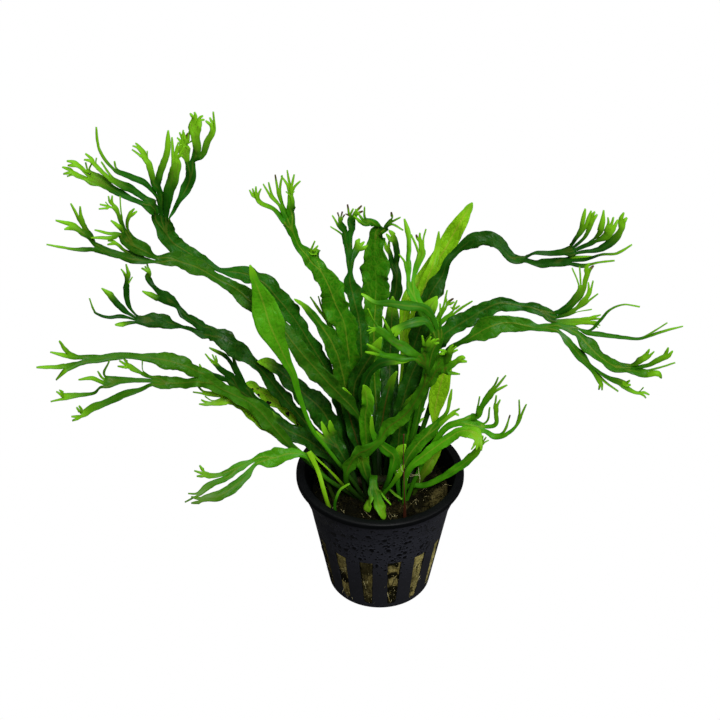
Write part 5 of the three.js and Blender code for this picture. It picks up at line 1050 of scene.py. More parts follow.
    "frond_right_low": Growth((6.6, -3.8), Tone.BRIGHT, LIT_CREST, blade((10, -5.2, 2.6, 1.5),
        (14.5, -5.1, 4, 1.8), (20, -2.8, 7, 1.9), (24.5, -0.2, 10, 2.4), (28, 2.2, 12, 2.6),
        (31.5, 5.4, 15, 2.3), (33.6, 8.5, 17, 1.4), (35.4, 11, 19, 0))),
    "leaf_dark_arch": Growth((-1.2, 1.2), Tone.DARK, WAVY, blade((-2.6, 9, 1, 2.2), (-5, 20, 5, 3),
        (-5.4, 28, 7, 3), (-3, 33, 8, 2.8), (0.6, 35.6, 9, 2.6), (5, 36.1, 10, 2.6), (10, 36.7, 11, 0))),
    "leaf_dark_right": Growth((1.2, 1.2), Tone.DARK, WAVY, blade((4, 10, 0.6, 3.2), (6.5, 19, 0.9, 5),
        (9.5, 29, 0.7, 5.6), (13, 37, 0, 4.8), (17, 43.5, 0, 3.2), (21, 47, 0, 0))),
    "frond_dark_low_right": Growth((2.8, 1.8), Tone.DARK, PLAIN, blade((7.4, 7.6, 1, 2.6), (10, 15.4, 1, 4),
        (13, 21, 1), (14.9, 20.6, 1), (14.6, 17.4, 1))),
    "leaf_centre_cross": Growth((-2, 2.4), Tone.DARK, WAVY, blade((-6, 11, 0, 2.4), (-8.8, 21, 2, 4.2),
        (-8.2, 29.4, 4, 4.6), (-5.4, 34.4, 5, 4.8), (-2.4, 39, 6, 3.6), (0.5, 44.4, 7, 0))),
    "leaf_yellow_back": Growth((4.4, 6), Tone.PALE, PLAIN, blade((8.8, 18, -14, 2), (8.6, 32, -20, 3),
        (9, 42, -22, 4), (10.6, 49, -22, 3), (12.6, 54, -22, 0))),
    "leaf_pale_back": Growth((7.6, 3.6), Tone.PALE, PLAIN, blade((10.4, 15, -7, 1.4), (13.4, 32, -11.5, 2.4),
        (13.4, 42, -12.5, 3), (14.5, 47, -13, 2.4), (17.4, 48.4, -13, 0))),
    "leaf_back_left": Growth((-6, 4.8), Tone.GREEN, PLAIN, blade((-12, 12, -7, 2.2), (-12.4, 22, -12, 3.2),
        (-12.4, 34, -18, 4.4), (-13, 45, -23, 4.2), (-13.8, 54, -28, 2.6), (-14.6, 60, -31, 0))),
    "leaf_back_upright": Growth((2, 5.4), Tone.DARK, PLAIN, blade((3, 14, -12, 2.4), (3, 26, -14.6, 6.2),
        (3.4, 38, -16, 6.4), (3.8, 49, -16, 5), (4.2, 58, -15, 0))),
    "leaf_back_middle": Growth((0.4, 7.2), Tone.DARK, PLAIN, blade((-0.4, 14, -12, 2.2), (-1.6, 24, -18, 3.2),
        (-1.8, 42, -21, 4.6), (-1.6, 57.8, -27.4, 4.6), (-1.4, 67.4, -33.8, 0))),
    "leaf_back_right": Growth((7.6, 7.2), Tone.GREEN, PLAIN, blade((11, 12, -9.5, 1.8), (12, 22, -17.6, 3),
        (12.4, 34, -22, 4.2), (13, 44, -25, 3.8), (14.2, 52, -28, 0))),
}


@dataclass
class Crest:
    """Splits the pointed ends of a frond into the small points of a lacy crest.

    An end turns into a flat palm that parts into tines, and a longer one grows a spur below it.
    Lengths are in millimetres on the sketch, and turns are in degrees.
    """

    seed: int
    shortest: float = 2.2
    thinnest: float = 0.9
    whisker_length: float = 5.0
    whisker_width: float = 1.3
    plain_share: float = 0.22
    spur_length: float = 4.5
    spur_share: float = 0.4
    neck_width: float = 2.8
    palm_place: Pair = (0.38, 0.58)
    palm_width: Pair = (1.7, 4.8)
    palm_size: Pair = (1.1, 1.45)
    broad_size: Pair = (1.4, 1.9)
    broad_width: float = 2.0
    broad_share: float = 0.45
    tine_turn: Pair = (32, 52)
    tine_reach: Pair = (0.4, 0.75)
    other_turn: Pair = (28, 50)
    other_share: float = 0.2
    tooth_turn: Pair = (40, 65)
    tooth_size: Pair = (0.8, 1.3)
    spur_turn: Pair = (38, 62)
    spur_size: Pair = (1.0, 2.0)
    plain_tine: float = 3.6
    single_share: float = 0.45

    def __post_init__(self) -> None:
        """Starts the crest's own row of random numbers."""
        self.dice = random.Random(self.seed)

    def fray(self, part: Blade, start: Station, width: float) -> Blade:
        """Splits the ends of a blade and of all that it forks into.

        Args:
            part: The blade.
            start: Where it starts on the sketch: across, rise and near.
            width: How wide it starts.

        Returns:
            The blade with its ends split.
        """
        last = part.stations[-1]
        if part.forks:
            total = sum(fork.start_width() for fork in part.forks)
            return Blade(part.stations, tuple(self.fray(fork, last, last[3] * fork.start_width() / total)
                                              for fork in part.forks))
        if len(part.stations) > 1:
            start, width = part.stations[-2], part.stations[-2][3]
        length = math.hypot(last[0] - start[0], last[1] - start[1])
        whisker = length > self.whisker_length and width < self.whisker_width
        slight = length < self.shortest or width < self.thinnest
        if last[3] > 0 or slight or whisker or self.dice.random() < self.plain_share:
            return part
        palm, tines = self.antler(start, last, width, length)
        if length > self.spur_length and self.dice.random() < self.spur_share:
            neck = self.between(start, last, 0.25, min(0.9 * width, self.neck_width))
            return Blade(part.stations[:-1] + [neck], (self.spur(start, last, neck), Blade([palm], tines)))
        return Blade(part.stations[:-1] + [palm], tines)

    def between(self, start: Station, end: Station, share: float,
                width: float) -> list[float]:
        """A station that lies share of the way from start to end."""
        return [mix(start[axis], end[axis], share) for axis in range(3)] + [width]

    def heading(self, start: Station, end: Station) -> float:
        """The direction on the sketch from one station to another, in radians."""
        return math.atan2(end[1] - start[1], end[0] - start[0])

    def beside(self, place: Station, way: float, reach: float, near: float) -> list[float]:
        """The point that lies some way from a station in a direction."""
        return [place[0] + reach * math.cos(way), place[1] + reach * math.sin(way), near]

    def antler(self, start: Station, end: Station, width: float,
               length: float) -> tuple[list[float], tuple[Blade, ...]]:
        """The flat palm near an end and the tines that it parts into.

        Args:
            start: Where the end's last stretch starts.
            end: Its furthest point.
            width: How wide the stretch starts.
            length: How long it looks.

        Returns:
            The palm's station, and the tines.
        """
        broad = width > self.broad_width and self.dice.random() < self.broad_share
        share = self.dice.uniform(*self.palm_place)
        size = self.dice.uniform(*(self.broad_size if broad else self.palm_size))
        low, high = self.palm_width
        palm = self.between(start, end, share, min(max(width * size, low), high))
        ahead = self.heading(start, end)
        hand = self.dice.choice((-1, 1))
        turns = [hand * self.dice.uniform(*self.tine_turn)]
        if broad or self.dice.random() < self.other_share:
            turns.append(-hand * self.dice.uniform(*self.other_turn))
        tines = [self.tine(palm, end, (1 - share) * length, palm[3] * 0.6)]
        for turn in turns:
            reach = max(self.dice.uniform(*self.tine_reach) * (1 - share) * length, 1.2) + palm[3] / 3
            goal = self.beside(palm, ahead + math.radians(turn), reach, mix(palm[2], end[2], 0.6))
            tines.append(self.tine(palm, goal, reach, palm[3] * 0.4))
        return palm, tuple(tines)

    def tine(self, start: Station, end: Station, length: float, width: float) -> Blade:
        """A tine of an antler.

        Args:
            start: The palm that it leaves.
            end: Its furthest point.
            length: How long it is.
            width: How wide it may be.

        Returns:
            A plain point when it is short, or else a tine that may end in two unequal teeth.
        """
        if length < self.plain_tine or self.dice.random() < self.single_share:
            return tip(*end[:3])
        hand = self.dice.choice((-1, 1))
        knob = self.between(start, end, max(0.6, 1 - 1.5 / length), min(max(width, 0.8), 1.7))
        size = self.dice.uniform(*self.tooth_size) + knob[3] / 3
        way = self.heading(start, end) + hand * math.radians(self.dice.uniform(*self.tooth_turn))
        return Blade([knob], (tip(*end[:3]), tip(*self.beside(knob, way, size, knob[2] + 0.2))))

    def spur(self, start: Station, end: Station, place: list[float]) -> Blade:
        """A small side tooth on a blade that runs from start to end.

        Args:
            start: Where the blade starts.
            end: Where it ends.
            place: The station that the tooth leaves.

        Returns:
            The tooth.
        """
        hand = self.dice.choice((-1, 1))
        way = self.heading(start, end) + hand * math.radians(self.dice.uniform(*self.spur_turn))
        size = self.dice.uniform(*self.spur_size) + place[3] / 2
        return tip(*self.beside(place, way, size, place[2] + 0.3))


@dataclass
class Row:
    """One row of vertices across a blade, and the blade's frame there."""

    verts: list[BMVert]
    centre: Vector
    along: Vector
    side: Vector
    half: float
    shares: list[float]
    grown: float
    offset: float

    def part(self, first: int, last: int) -> "Row":
        """The stretch of the row between two of its vertices, as a row of its own.

        Args:
            first: The number of its first vertex.
            last: The number of its last.

        Returns:
            The new row.
        """
        verts = self.verts[first:last + 1]
        ends = [verts[0].co, verts[-1].co]
        centre = (ends[0] + ends[1]) / 2
        span = self.shares[last] - self.shares[first]
        shares = [(share - self.shares[first]) / span for share in self.shares[first:last + 1]]
        offset = self.offset + (self.shares[first] + self.shares[last] - 1) * self.half
        return Row(verts, centre, self.along, self.side, (ends[1] - ends[0]).length / 2, shares,
                   self.grown, offset)


@dataclass
class Frond:
    """Grows one frond as a sheet, row by row, and gives it its thickness.

    Rows stand closer where half the width is below narrow, an end closes to blunt, and a frayed
    stretch shorter than slender keeps its width for longer. Lengths are in millimetres.
    """

    name: str
    growth: Growth
    seed: int
    spacing: float = 0.75
    tip_spacing: float = 0.55
    least_cells: int = 10
    root_half: float = 0.65
    root_depth: float = 1.2
    flesh: float = 1.6
    blade_flesh: float = 0.34
    blunt: float = 0.24
    narrow: float = 1.2
    slender: float = 5.0
    turn_length: float = 5.0
    split_length: float = 7.0
    burnt_length: Pair = (0.8, 2.6)
    stalk_length: Pair = (3.0, 10.0)
    stalk_half: Pair = (1.0, 1.9)
    stalk_reach: Pair = (0.3, 0.55)
    shaded_rise: Pair = (2.0, 24.0)
    bm: BMesh = field(default_factory=bmesh.new)

    def __post_init__(self) -> None:
        """Splits the ends, counts the cells across, and opens the values that vertices carry."""
        self.habit = self.growth.habit
        self.part = self.growth.part
        if self.habit.frayed:
            self.part = Crest(self.seed).fray(self.part, (0, 0, 0), 2)
        self.cells = max(1, math.ceil(self.least_cells / self.part.ends()))
        if self.cells > 1 and self.cells % 2:
            self.cells += 1
        self.dice = random.Random(self.seed + 77)
        self.facing = SKETCH.near.lerp(UP, self.growth.lift)
        layers = self.bm.verts.layers
        self.vein = layers.float_vector.new("vein")
        self.values = {name: layers.float.new(name) for name in MARKS}
        self.weight = layers.deform.new()
        self.tint = self.dice.random()
        self.rests: dict[int, float] = {}
        self.measure(self.part, self.root_point())

    def root_point(self) -> Vector:
        """Where the frond leaves the wool."""
        x, y = self.growth.root
        return Vector((x, y, MineralWool.surface(x, y) - self.root_depth))

    def measure(self, part: Blade, start: Vector) -> float:
        """Works out how far each blade and its forks reach from where the blade starts.

        Args:
            part: The blade.
            start: Where it starts.

        Returns:
            How far it reaches.
        """
        length, here = 0.0, start
        for station in part.stations:
            there = SKETCH.place(*station[:3])
            length += (there - here).length
            here = there
        reach = length + max((self.measure(fork, here) for fork in part.forks), default=0.0)
        self.rests[id(part)] = reach
        return reach

    def frame_at(self, along: Vector, before: Vector | None, share: float,
                 turn: float = 0.0) -> tuple[Vector, Vector]:
        """The blade's side and upper face where it runs along a direction.

        Args:
            along: The unit direction of the midrib.
            before: The side of the row that the blade starts from, if it has one.
            share: How far the blade has turned to its own side, from 0 to 1.
            turn: How far it is twisted about its midrib, in radians.

        Returns:
            The unit side and the unit normal.
        """
        side = along.cross(self.facing).normalized()
        if turn:
            side = Matrix.Rotation(turn, 3, along) @ side
        if before is not None and share < 1:
            side = before.lerp(side, share)
            side = (side - along * side.dot(along)).normalized()
        return side, side.cross(along).normalized()

    def half_at(self, along: Vector, width: float) -> float:
        """Half the width of a blade that looks width wide from the eye.

        Args:
            along: The unit direction of its midrib.
            width: How wide it looks.

        Returns:
            Half its own width.
        """
        side, _ = self.frame_at(along, None, 1)
        flat_along = (along - SKETCH.near * along.dot(SKETCH.near)).normalized()
        flat_side = side - SKETCH.near * side.dot(SKETCH.near)
        seen = (flat_side - flat_along * flat_side.dot(flat_along)).length
        return self.habit.slim * width / 2 / max(seen, 0.6)

    def twist_at(self, grown: float) -> float:
        """How far the blade is twisted about its midrib, in radians."""
        sway = noise.noise(Vector((grown / 14.0, self.seed * 2.9, 4.4)))
        return math.radians(self.habit.twist) * 2 * sway * smooth(grown, 5, 25)

    def first_row(self) -> Row:
        """The row of vertices at the frond's root."""
        centre = self.root_point()
        first = SKETCH.place(*self.part.stations[0][:3])
        along = ((first - centre).normalized() + UP * 0.4).normalized()
        side, _ = self.frame_at(along, None, 1)
        count = self.cells * self.part.ends()
        shares = [index / count for index in range(count + 1)]
        verts = [self.bm.verts.new(centre + side * (2 * share - 1) * self.root_half)
                 for share in shares]
        for one, other in zip(verts, verts[1:]):
            self.bm.edges.new((one, other))
        row = Row(verts, centre, along, side, self.root_half, shares, 0.0, 0.0)
        self.mark(row, [0.0], self.rests[id(self.part)], 1.0, 0.0)
        return row

    def mark(self, row: Row, ribs: list[float], rest: float, stalk: float, scorch: float) -> None:
        """Writes the values that the finish and the thickness read at a row.

        Args:
            row: The row.
            ribs: Where the midribs cross it, from the row's middle.
            rest: How far it is from there to the furthest end.
            stalk: 1 on the stalk and 0 on the blade.
            scorch: 1 where the frond has dried.
        """
        total = row.grown + rest
        reach = row.grown / total if total else 1.0
        fresh = 1 - smooth(rest, 0.15 * self.habit.youth, self.habit.youth)
        plump = min(1.2, 1.5 * row.half)
        above = row.centre.z - MineralWool.surface(row.centre.x, row.centre.y)
        # Painted shade: darker low over the wool, under the fronds above; dim darkens the grown blade
        shadow = max(self.habit.shadow * (1 - smooth(above, *self.shaded_rise)), self.habit.dim * (1 - fresh))
        for vert, share in zip(row.verts, row.shares):
            across = 2 * share - 1
            x = across * row.half
            rib = min(abs(x - place) for place in ribs)
            vert[self.vein] = Vector((row.offset + x, row.grown, self.seed * 3.7))
            marks = (rib, row.half, reach, fresh, scorch, self.tint, shadow, self.habit.rust,
                     self.habit.spotted)
            for name, value in zip(MARKS, marks):
                vert[self.values[name]] = value
            round_stalk = plump * math.sqrt(max(1 - 0.9 * across * across, 0.05))
            ridge = 0.5 * math.exp(-(rib / 0.4) ** 2) * smooth(row.half, 0.4, 2.0)
            flat = self.blade_flesh * (1 - 0.4 * abs(across)) * min(1, 0.5 + row.half) + ridge
            vert[self.weight][0] = mix(flat, round_stalk, stalk) / self.flesh

    def extrude(self, row: Row) -> list[BMVert]:
        """Extrudes a row's edges.

        Args:
            row: The row.

        Returns:
            The new vertices, in the old ones' order.
        """
        edges = [self.bm.edges.get((one, other)) for one, other in zip(row.verts, row.verts[1:])]
        made = bmesh.ops.extrude_edge_only(self.bm, edges=edges)["geom"]
        new = {item for item in made if isinstance(item, BMVert)}
        following = []
        for vert in row.verts:
            ahead = [edge.other_vert(vert) for edge in vert.link_edges]
            following.append(next(other for other in ahead if other in new))
        return following

    def shape_row(self, row: Row, normal: Vector, stalk: float) -> None:
        """Moves a row's vertices to the blade's uneven, waving and blistered surface.

        Args:
            row: The row.
            normal: The unit normal there.
            stalk: 1 on the stalk and 0 on the blade.
        """
        habit = self.habit
        flat = 1 - stalk
        wave = 2 * math.pi * row.grown / habit.wave
        size = smooth(row.half, 0.5, 3.0) * flat
        puffed = habit.blister * smooth(row.half, 1.4, 3.2)
        for vert, share in zip(row.verts, row.shares):
            across = 2 * share - 1
            sign = 1.0 if across > 0 else -1.0
            phase = self.seed * 1.3 + 1.9 * sign
            edge = abs(across) ** 2.2
            vary = noise.noise(Vector((row.grown / 5.5, 3.1 * sign, self.seed * 1.7)))
            nibble = noise.noise(Vector((row.grown / 1.6, 7.7 * sign, self.seed * 2.3)))
            wide = 1 + flat * abs(across) * (habit.uneven * 2 * vary + habit.jag * nibble)
            swell = math.sin(wave + phase + 2.2 * vary)
            x = across * row.half * wide
            puff = noise.noise(Vector(((row.offset + x) / 1.5, row.grown / 2.0, self.seed * 1.1)))
            slow = noise.noise(Vector(((row.offset + x) / 4.0, row.grown / 6.0, self.seed * 0.9)))
            rise = (habit.keel * abs(x) * flat + habit.ruffle * swell * edge * size
                    + (puffed * puff + 0.3 * slow) * size * (1 - 0.5 * edge))
            vert.co = row.centre + row.side * x + normal * rise

    def path(self, part: Blade, start: Row) -> tuple[list[Vector], list[Vector], list[float]]:
        """The midrib that a blade grows along.

        Args:
            part: The blade.
            start: The row that it starts from.

        Returns:
            Its stations from that row on, the unit directions there, and how far apart they are.
        """
        places = [start.centre] + [SKETCH.place(*station[:3]) for station in part.stations]
        spans = [(there - here).length for here, there in zip(places, places[1:])]
        heads = [(there - here).normalized() for here, there in zip(places, places[1:])]
        ahead = heads[-1]
        if part.forks:
            firsts = [SKETCH.place(*fork.stations[0][:3]) - places[-1] for fork in part.forks]
            ahead = (sum((first.normalized() for first in firsts), Vector()) + heads[-1]).normalized()
        tangents = [(start.along * 0.7 + heads[0] * 0.5).normalized()]
        for index in range(1, len(places) - 1):
            weight = spans[index] / (spans[index - 1] + spans[index])
            tangents.append(heads[index - 1].lerp(heads[index], 1 - weight).normalized())
        return places, tangents + [ahead], spans

    def stalk_at(self, far: float, half: float, reach: float) -> float:
        """How much of a stalk a row is, from how far up and how wide it is."""
        slight = (1 - smooth(half, *self.stalk_half)) * (1 - smooth(reach, *self.stalk_reach))
        return max(slight, 1 - smooth(far, *self.stalk_length))

    def grow(self, part: Blade, start: Row, is_stalk: bool) -> None:
        """Grows a blade from a row, and then the blades that it forks into.

        Args:
            part: The blade.
            start: The row that it starts from.
            is_stalk: Whether the blade starts as the frond's stalk.
        """
        places, tangents, spans = self.path(part, start)
        halves = [start.half] + [self.half_at(tangent, station[3])
                                 for tangent, station in zip(tangents[1:], part.stations)]
        ordered = self.left_to_right(part.forks, places[-1], tangents[-1])
        goal, cuts = self.fork_shares(ordered, len(start.verts) - 1)
        middles = [(goal[one] + goal[other]) - 1 for one, other in zip(cuts, cuts[1:])]
        length = sum(spans)
        done = 0.0
        rest = self.rests[id(part)]
        burnt = self.habit.scorched > self.dice.random() and not part.forks
        row = start
        for index, span in enumerate(spans):
            narrow = max(halves[index], halves[index + 1]) < self.narrow
            steps = max(2, round(span / (self.tip_spacing if narrow else self.spacing)))
            pointed = halves[index + 1] == 0
            slender = self.habit.frayed and span < self.slender
            for step in range(1, steps + 1):
                share = step / steps
                centre, along = self.curve(places, tangents, index, share, span)
                far = done + span * share
                turn = smooth(far, 0, min(self.turn_length, 0.6 * length + 0.5))
                side, normal = self.frame_at(along, start.side, turn, self.twist_at(start.grown + far))
                if pointed:
                    half = mix(halves[index], self.blunt, share ** (1.5 if slender else self.habit.taper))
                else:
                    half = self.width_at(halves, spans, index, share)
                slide = smooth(far / length, 0.45, 1.0)
                shares = [mix(one, other, slide) for one, other in zip(start.shares, goal)]
                grown = start.grown + far
                stalk = self.stalk_at(far, half, grown / (grown + rest - far)) if is_stalk else 0.0
                verts = self.extrude(row)
                row = Row(verts, centre, along, side, half, shares, grown, start.offset)
                self.shape_row(row, normal, stalk)
                split = smooth(far, length - min(self.split_length, 0.7 * length), length)
                ribs = [middle * half * split for middle in middles] if len(middles) > 1 else [0.0]
                dried = burnt * (1 - smooth(rest - far, *self.burnt_length))
                self.mark(row, ribs, rest - far, stalk, dried)
            done += span
        for fork, first, last in zip(ordered, cuts, cuts[1:]):
            self.grow(fork, row.part(first, last), False)

    def curve(self, places: list[Vector], tangents: list[Vector], index: int, share: float,
              span: float) -> tuple[Vector, Vector]:
        """A point on the smooth midrib between two stations, and the direction there.

        Args:
            places: The midrib's stations.
            tangents: Its unit directions there.
            index: The number of the station before the point.
            share: How far it is to the next.
            span: How far apart the two are.

        Returns:
            The point and the unit direction.
        """
        here, there = places[index], places[index + 1]
        leave, arrive = tangents[index] * span, tangents[index + 1] * span
        along = (here * (6 * share ** 2 - 6 * share) + leave * (3 * share ** 2 - 4 * share + 1)
                 + there * (6 * share - 6 * share ** 2) + arrive * (3 * share ** 2 - 2 * share))
        return glide(here, leave, there, arrive, share), along.normalized()

    def width_at(self, halves: list[float], spans: list[float], index: int, share: float) -> float:
        """Half the blade's width between two stations, smooth from one to the next.

        Args:
            halves: Half its width at each station.
            spans: How far apart they are.
            index: The number of the station before.
            share: How far it is to the next.

        Returns:
            Half the width there.
        """
        def slope(at: int) -> float:
            """How fast the width grows at a station, or 0 where it turns."""
            if at == 0 or at == len(halves) - 1:
                return 0.0
            before = (halves[at] - halves[at - 1]) / spans[at - 1]
            after = (halves[at + 1] - halves[at]) / spans[at]
            return 0.0 if before * after <= 0 else 2 * before * after / (before + after)

        span = spans[index]
        return glide(halves[index], slope(index) * span, halves[index + 1], slope(index + 1) * span, share)

    def left_to_right(self, forks: tuple[Blade, ...], place: Vector, along: Vector) -> list[Blade]:
        """The forks in the order in which they leave a row, from its left."""
        side, _ = self.frame_at(along, None, 1)
        return sorted(forks, key=lambda fork: (
            SKETCH.place(*fork.stations[0][:3]) - place).normalized().dot(side))

    def fork_shares(self, forks: list[Blade], cells: int) -> tuple[list[float], list[int]]:
        """Where a blade's vertices stand across its last row, and where its forks part.

        Args:
            forks: The forks, from left to right.
            cells: How many cells the blade has across.

        Returns:
            A share for each vertex, and the number of the vertex at each parting.
        """
        if len(forks) < 2:
            return [index / cells for index in range(cells + 1)], [0, cells]
        widths = [fork.start_width() for fork in forks]
        goal, cuts, reached = [0.0], [0], 0.0
        for fork, width in zip(forks, widths):
            count = self.cells * fork.ends()
            start = reached / sum(widths)
            reached += width
            end = reached / sum(widths)
            goal += [mix(start, end, step / count) for step in range(1, count + 1)]
            cuts.append(cuts[-1] + count)
        return goal, cuts

    def build(self, finish: Material) -> Object:
        """Grows the whole frond.

        Args:
            finish: Its material.

        Returns:
            The frond, in metres, with its thickness as a modifier.
        """
        self.grow(self.part, self.first_row(), True)
        bmesh.ops.recalc_face_normals(self.bm, faces=self.bm.faces)
        piece = finish_piece(self.bm, f"{self.name}_grown", finish)
        piece.vertex_groups.new(name="flesh")
        thicken = piece.modifiers.new("thickness", "SOLIDIFY")
        thicken.thickness = self.flesh * MM
        thicken.offset = 0.0
        thicken.vertex_group = "flesh"
        return piece


def linked(name: str, data: ID) -> Object:
    """A new object of the scene."""
    made = bpy.data.objects.new(name, data)
    bpy.context.scene.collection.objects.link(made)
    return made


def smooth_piece(mesh: Mesh, name: str, finish: Material | None = None) -> Object:
    """Turns a finished mesh into a smooth piece, with a material where it has none yet.

    Args:
        mesh: The mesh, in metres.
        name: The piece's name.
        finish: Its material, or None for a mesh that has one.

    Returns:
        The piece, linked to the scene.
    """
    mesh.name = name
    if finish:
        mesh.materials.append(finish)
    mesh.polygons.foreach_set("use_smooth", [True] * len(mesh.polygons))
    return linked(name, mesh)


def finish_piece(bm: BMesh, name: str, finish: Material) -> Object:
    """Turns a bmesh in millimetres into a piece in metres, and frees it.

    Args:
        bm: The mesh.
        name: The piece's name.
        finish: Its material.

    Returns:
        The piece, linked to the scene.
    """
    bmesh.ops.scale(bm, vec=(MM, MM, MM), verts=bm.verts)
    mesh = bpy.data.meshes.new(name)
    bm.to_mesh(mesh)
    bm.free()
    return smooth_piece(mesh, name, finish)


def spun(outline: Iterable[Pair], steps: int) -> BMesh:
    """Spins an outline about the upright axis into a closed body.

    Args:
        outline: The radius and height of each point, from axis to axis.
        steps: How many steps there are all round.

    Returns:
        The body.
    """
    bm = bmesh.new()
    verts = [bm.verts.new((radius, 0, height)) for radius, height in outline]
    edges = [bm.edges.new(pair) for pair in zip(verts, verts[1:])]
    bmesh.ops.spin(bm, geom=[*verts, *edges], cent=(0, 0, 0), axis=(0, 0, 1), dvec=(0, 0, 0),
                   angle=2 * math.pi, steps=steps, use_merge=True, use_duplicate=False)
    bmesh.ops.remove_doubles(bm, verts=bm.verts, dist=0.001)
    return bm


def settle(piece: Object, node: str) -> None:
    """Lets a piece ride with the plant and stand for its CAD node.

    Args:
        piece: The piece.
        node: The node that it replaces.
    """
    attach(piece, BODY)
    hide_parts(node)
    log.info("%s: %d faces", piece.name, len(piece.data.polygons))


def baked_copy(piece: Object) -> Mesh:
    """The mesh that a piece has once its modifiers are applied."""
    graph = bpy.context.evaluated_depsgraph_get()
    return bpy.data.meshes.new_from_object(piece.evaluated_get(graph))


@dataclass
class NetPot:
    """The slotted net pot. Lengths are in millimetres."""

    height: float = 47.0
    rim_radius: float = 28.0
    lip_width: float = 3.0
    lip_depth: float = 2.0
    lip_rounding: Pair = (0.7, 0.55)
    collar_radius: float = 27.0
    collar_height: float = 12.0
    waist_radius: float = 23.6
    foot_radius: float = 17.4
    foot_chamfer: float = 1.6
    wall: float = 1.0
    floor: float = 1.2
    slots: int = 14
    slot_bottom: float = 2.2
    slot_top: float = 24.5
    slot_width_bottom: float = 2.9
    slot_width_top: float = 4.8
    floor_slots: int = 5
    floor_slot_inner: float = 5.0
    floor_slot_outer: float = 13.0
    floor_slot_width: float = 2.6
    steps: int = 180
    sharp: float = 38.0

    def wall_radius(self, height: float) -> float:
        """The outer radius of the straight wall at a height."""
        share = (height - self.foot_chamfer) / (self.height - self.collar_height - self.foot_chamfer)
        return mix(self.foot_radius, self.waist_radius, share)

    def slot_angle(self, index: int, count: int) -> float:
        """The direction of a slot in radians. A bar stands at the front."""
        return math.radians(-90 + (index + 0.5) * 360 / count)

    def lip(self) -> list[Pair]:
        """The rolled lip's outline, from below its outer edge over the top to inside it."""
        outer, inner = self.lip_rounding
        corners = ((self.rim_radius - outer, outer, 0), (self.rim_radius - self.lip_width + inner, inner, 1))
        return [(edge + size * math.cos(angle), self.height - size + size * math.sin(angle))
                for edge, size, quarter in corners
                for angle in (math.pi / 2 * (quarter + step / 4) for step in range(5))]

    def profile(self) -> list[Pair]:
        """The wall's outline as radius and height, from the middle of the base over the lip."""
        waist = self.height - self.collar_height
        shoulder = self.height - self.lip_depth
        foot = [(self.foot_radius - self.foot_chamfer * (1 - math.sin(angle)),
                 self.foot_chamfer * (1 - math.cos(angle)))
                for angle in (math.pi / 8 * step for step in range(5))]
        return [(0, 0), *foot, (self.wall_radius(waist * 0.5), waist * 0.5),
                (self.waist_radius, waist), (self.waist_radius + 0.25, waist + 0.7),
                (self.collar_radius, shoulder - 0.6), (self.collar_radius + 0.15, shoulder - 0.2),
                (self.rim_radius - 0.25, shoulder), (self.rim_radius, shoulder + 0.25),
                *self.lip(), (self.rim_radius - self.lip_width, shoulder),
                (self.waist_radius - self.wall, waist),
                (self.foot_radius - self.wall, self.foot_chamfer + 0.4),
                (self.foot_radius - self.wall - 0.6, self.floor), (0, self.floor)]

    def cutters(self) -> BMesh:
        """The prisms that cut the slots of the wall and of the floor."""
        bm = bmesh.new()
        low, high = self.slot_width_bottom / 2, self.slot_width_top / 2
        arc = [math.pi * (1 + step / 8) for step in range(9)]
        wall_slot = [(low * math.cos(angle), self.slot_bottom + low + low * math.sin(angle))
                     for angle in arc] + [(high, self.slot_top), (-high, self.slot_top)]
        for index in range(self.slots):
            outline = [Vector((self.foot_radius / 2, y, z)) for y, z in wall_slot]
            self.prism(bm, outline, Vector((self.rim_radius, 0, 0)),
                       self.slot_angle(index, self.slots))
        half = self.floor_slot_width / 2
        floor_slot = [Vector((x, y, -self.floor)) for x, y in (
            (self.floor_slot_inner, -half), (self.floor_slot_outer, -half),
            (self.floor_slot_outer, half), (self.floor_slot_inner, half))]
        for index in range(self.floor_slots):
            self.prism(bm, floor_slot, Vector((0, 0, 3 * self.floor)),
                       self.slot_angle(index, self.floor_slots))
        return bm

    def prism(self, bm: BMesh, outline: list[Vector], way: Vector, turn: float) -> None:
        """Extrudes an outline and turns it about the pot's axis.

        Args:
            bm: The mesh to add it to.
            outline: The corners.
            way: How far and in which direction it is extruded.
            turn: The turn in radians.
        """
        corners = [bm.verts.new(corner) for corner in outline]
        face = bm.faces.new(corners)
        made = bmesh.ops.extrude_face_region(bm, geom=[face], use_keep_orig=True)["geom"]
        moved = [item for item in made if isinstance(item, BMVert)]
        bmesh.ops.translate(bm, verts=moved, vec=way)
        both = corners + moved
        bmesh.ops.rotate(bm, verts=both, cent=(0, 0, 0), matrix=Matrix.Rotation(turn, 3, "Z"))
        faces = {face for vert in both for face in vert.link_faces}
        bmesh.ops.recalc_face_normals(bm, faces=list(faces))

    def build(self, finish: Material) -> Object:
        """Cuts the slots and shades the pot smooth, but for its sharp edges.

        Args:
            finish: The pot's material.

        Returns:
            The pot.
        """
        shell = spun(self.profile(), self.steps)
        bmesh.ops.recalc_face_normals(shell, faces=shell.faces)
        whole = finish_piece(shell, "net_pot_whole", finish)
        knife = finish_piece(self.cutters(), "net_pot_knife", finish)
        cut = whole.modifiers.new("slots", "BOOLEAN")
        cut.operation = "DIFFERENCE"
        cut.solver = "EXACT"
        cut.object = knife
        mesh = baked_copy(whole)
        for spare in (whole, knife):
            bpy.data.objects.remove(spare)
        piece = smooth_piece(mesh, "net_pot_moulded")
        mesh.set_sharp_from_angle(angle=math.radians(self.sharp))
        return piece


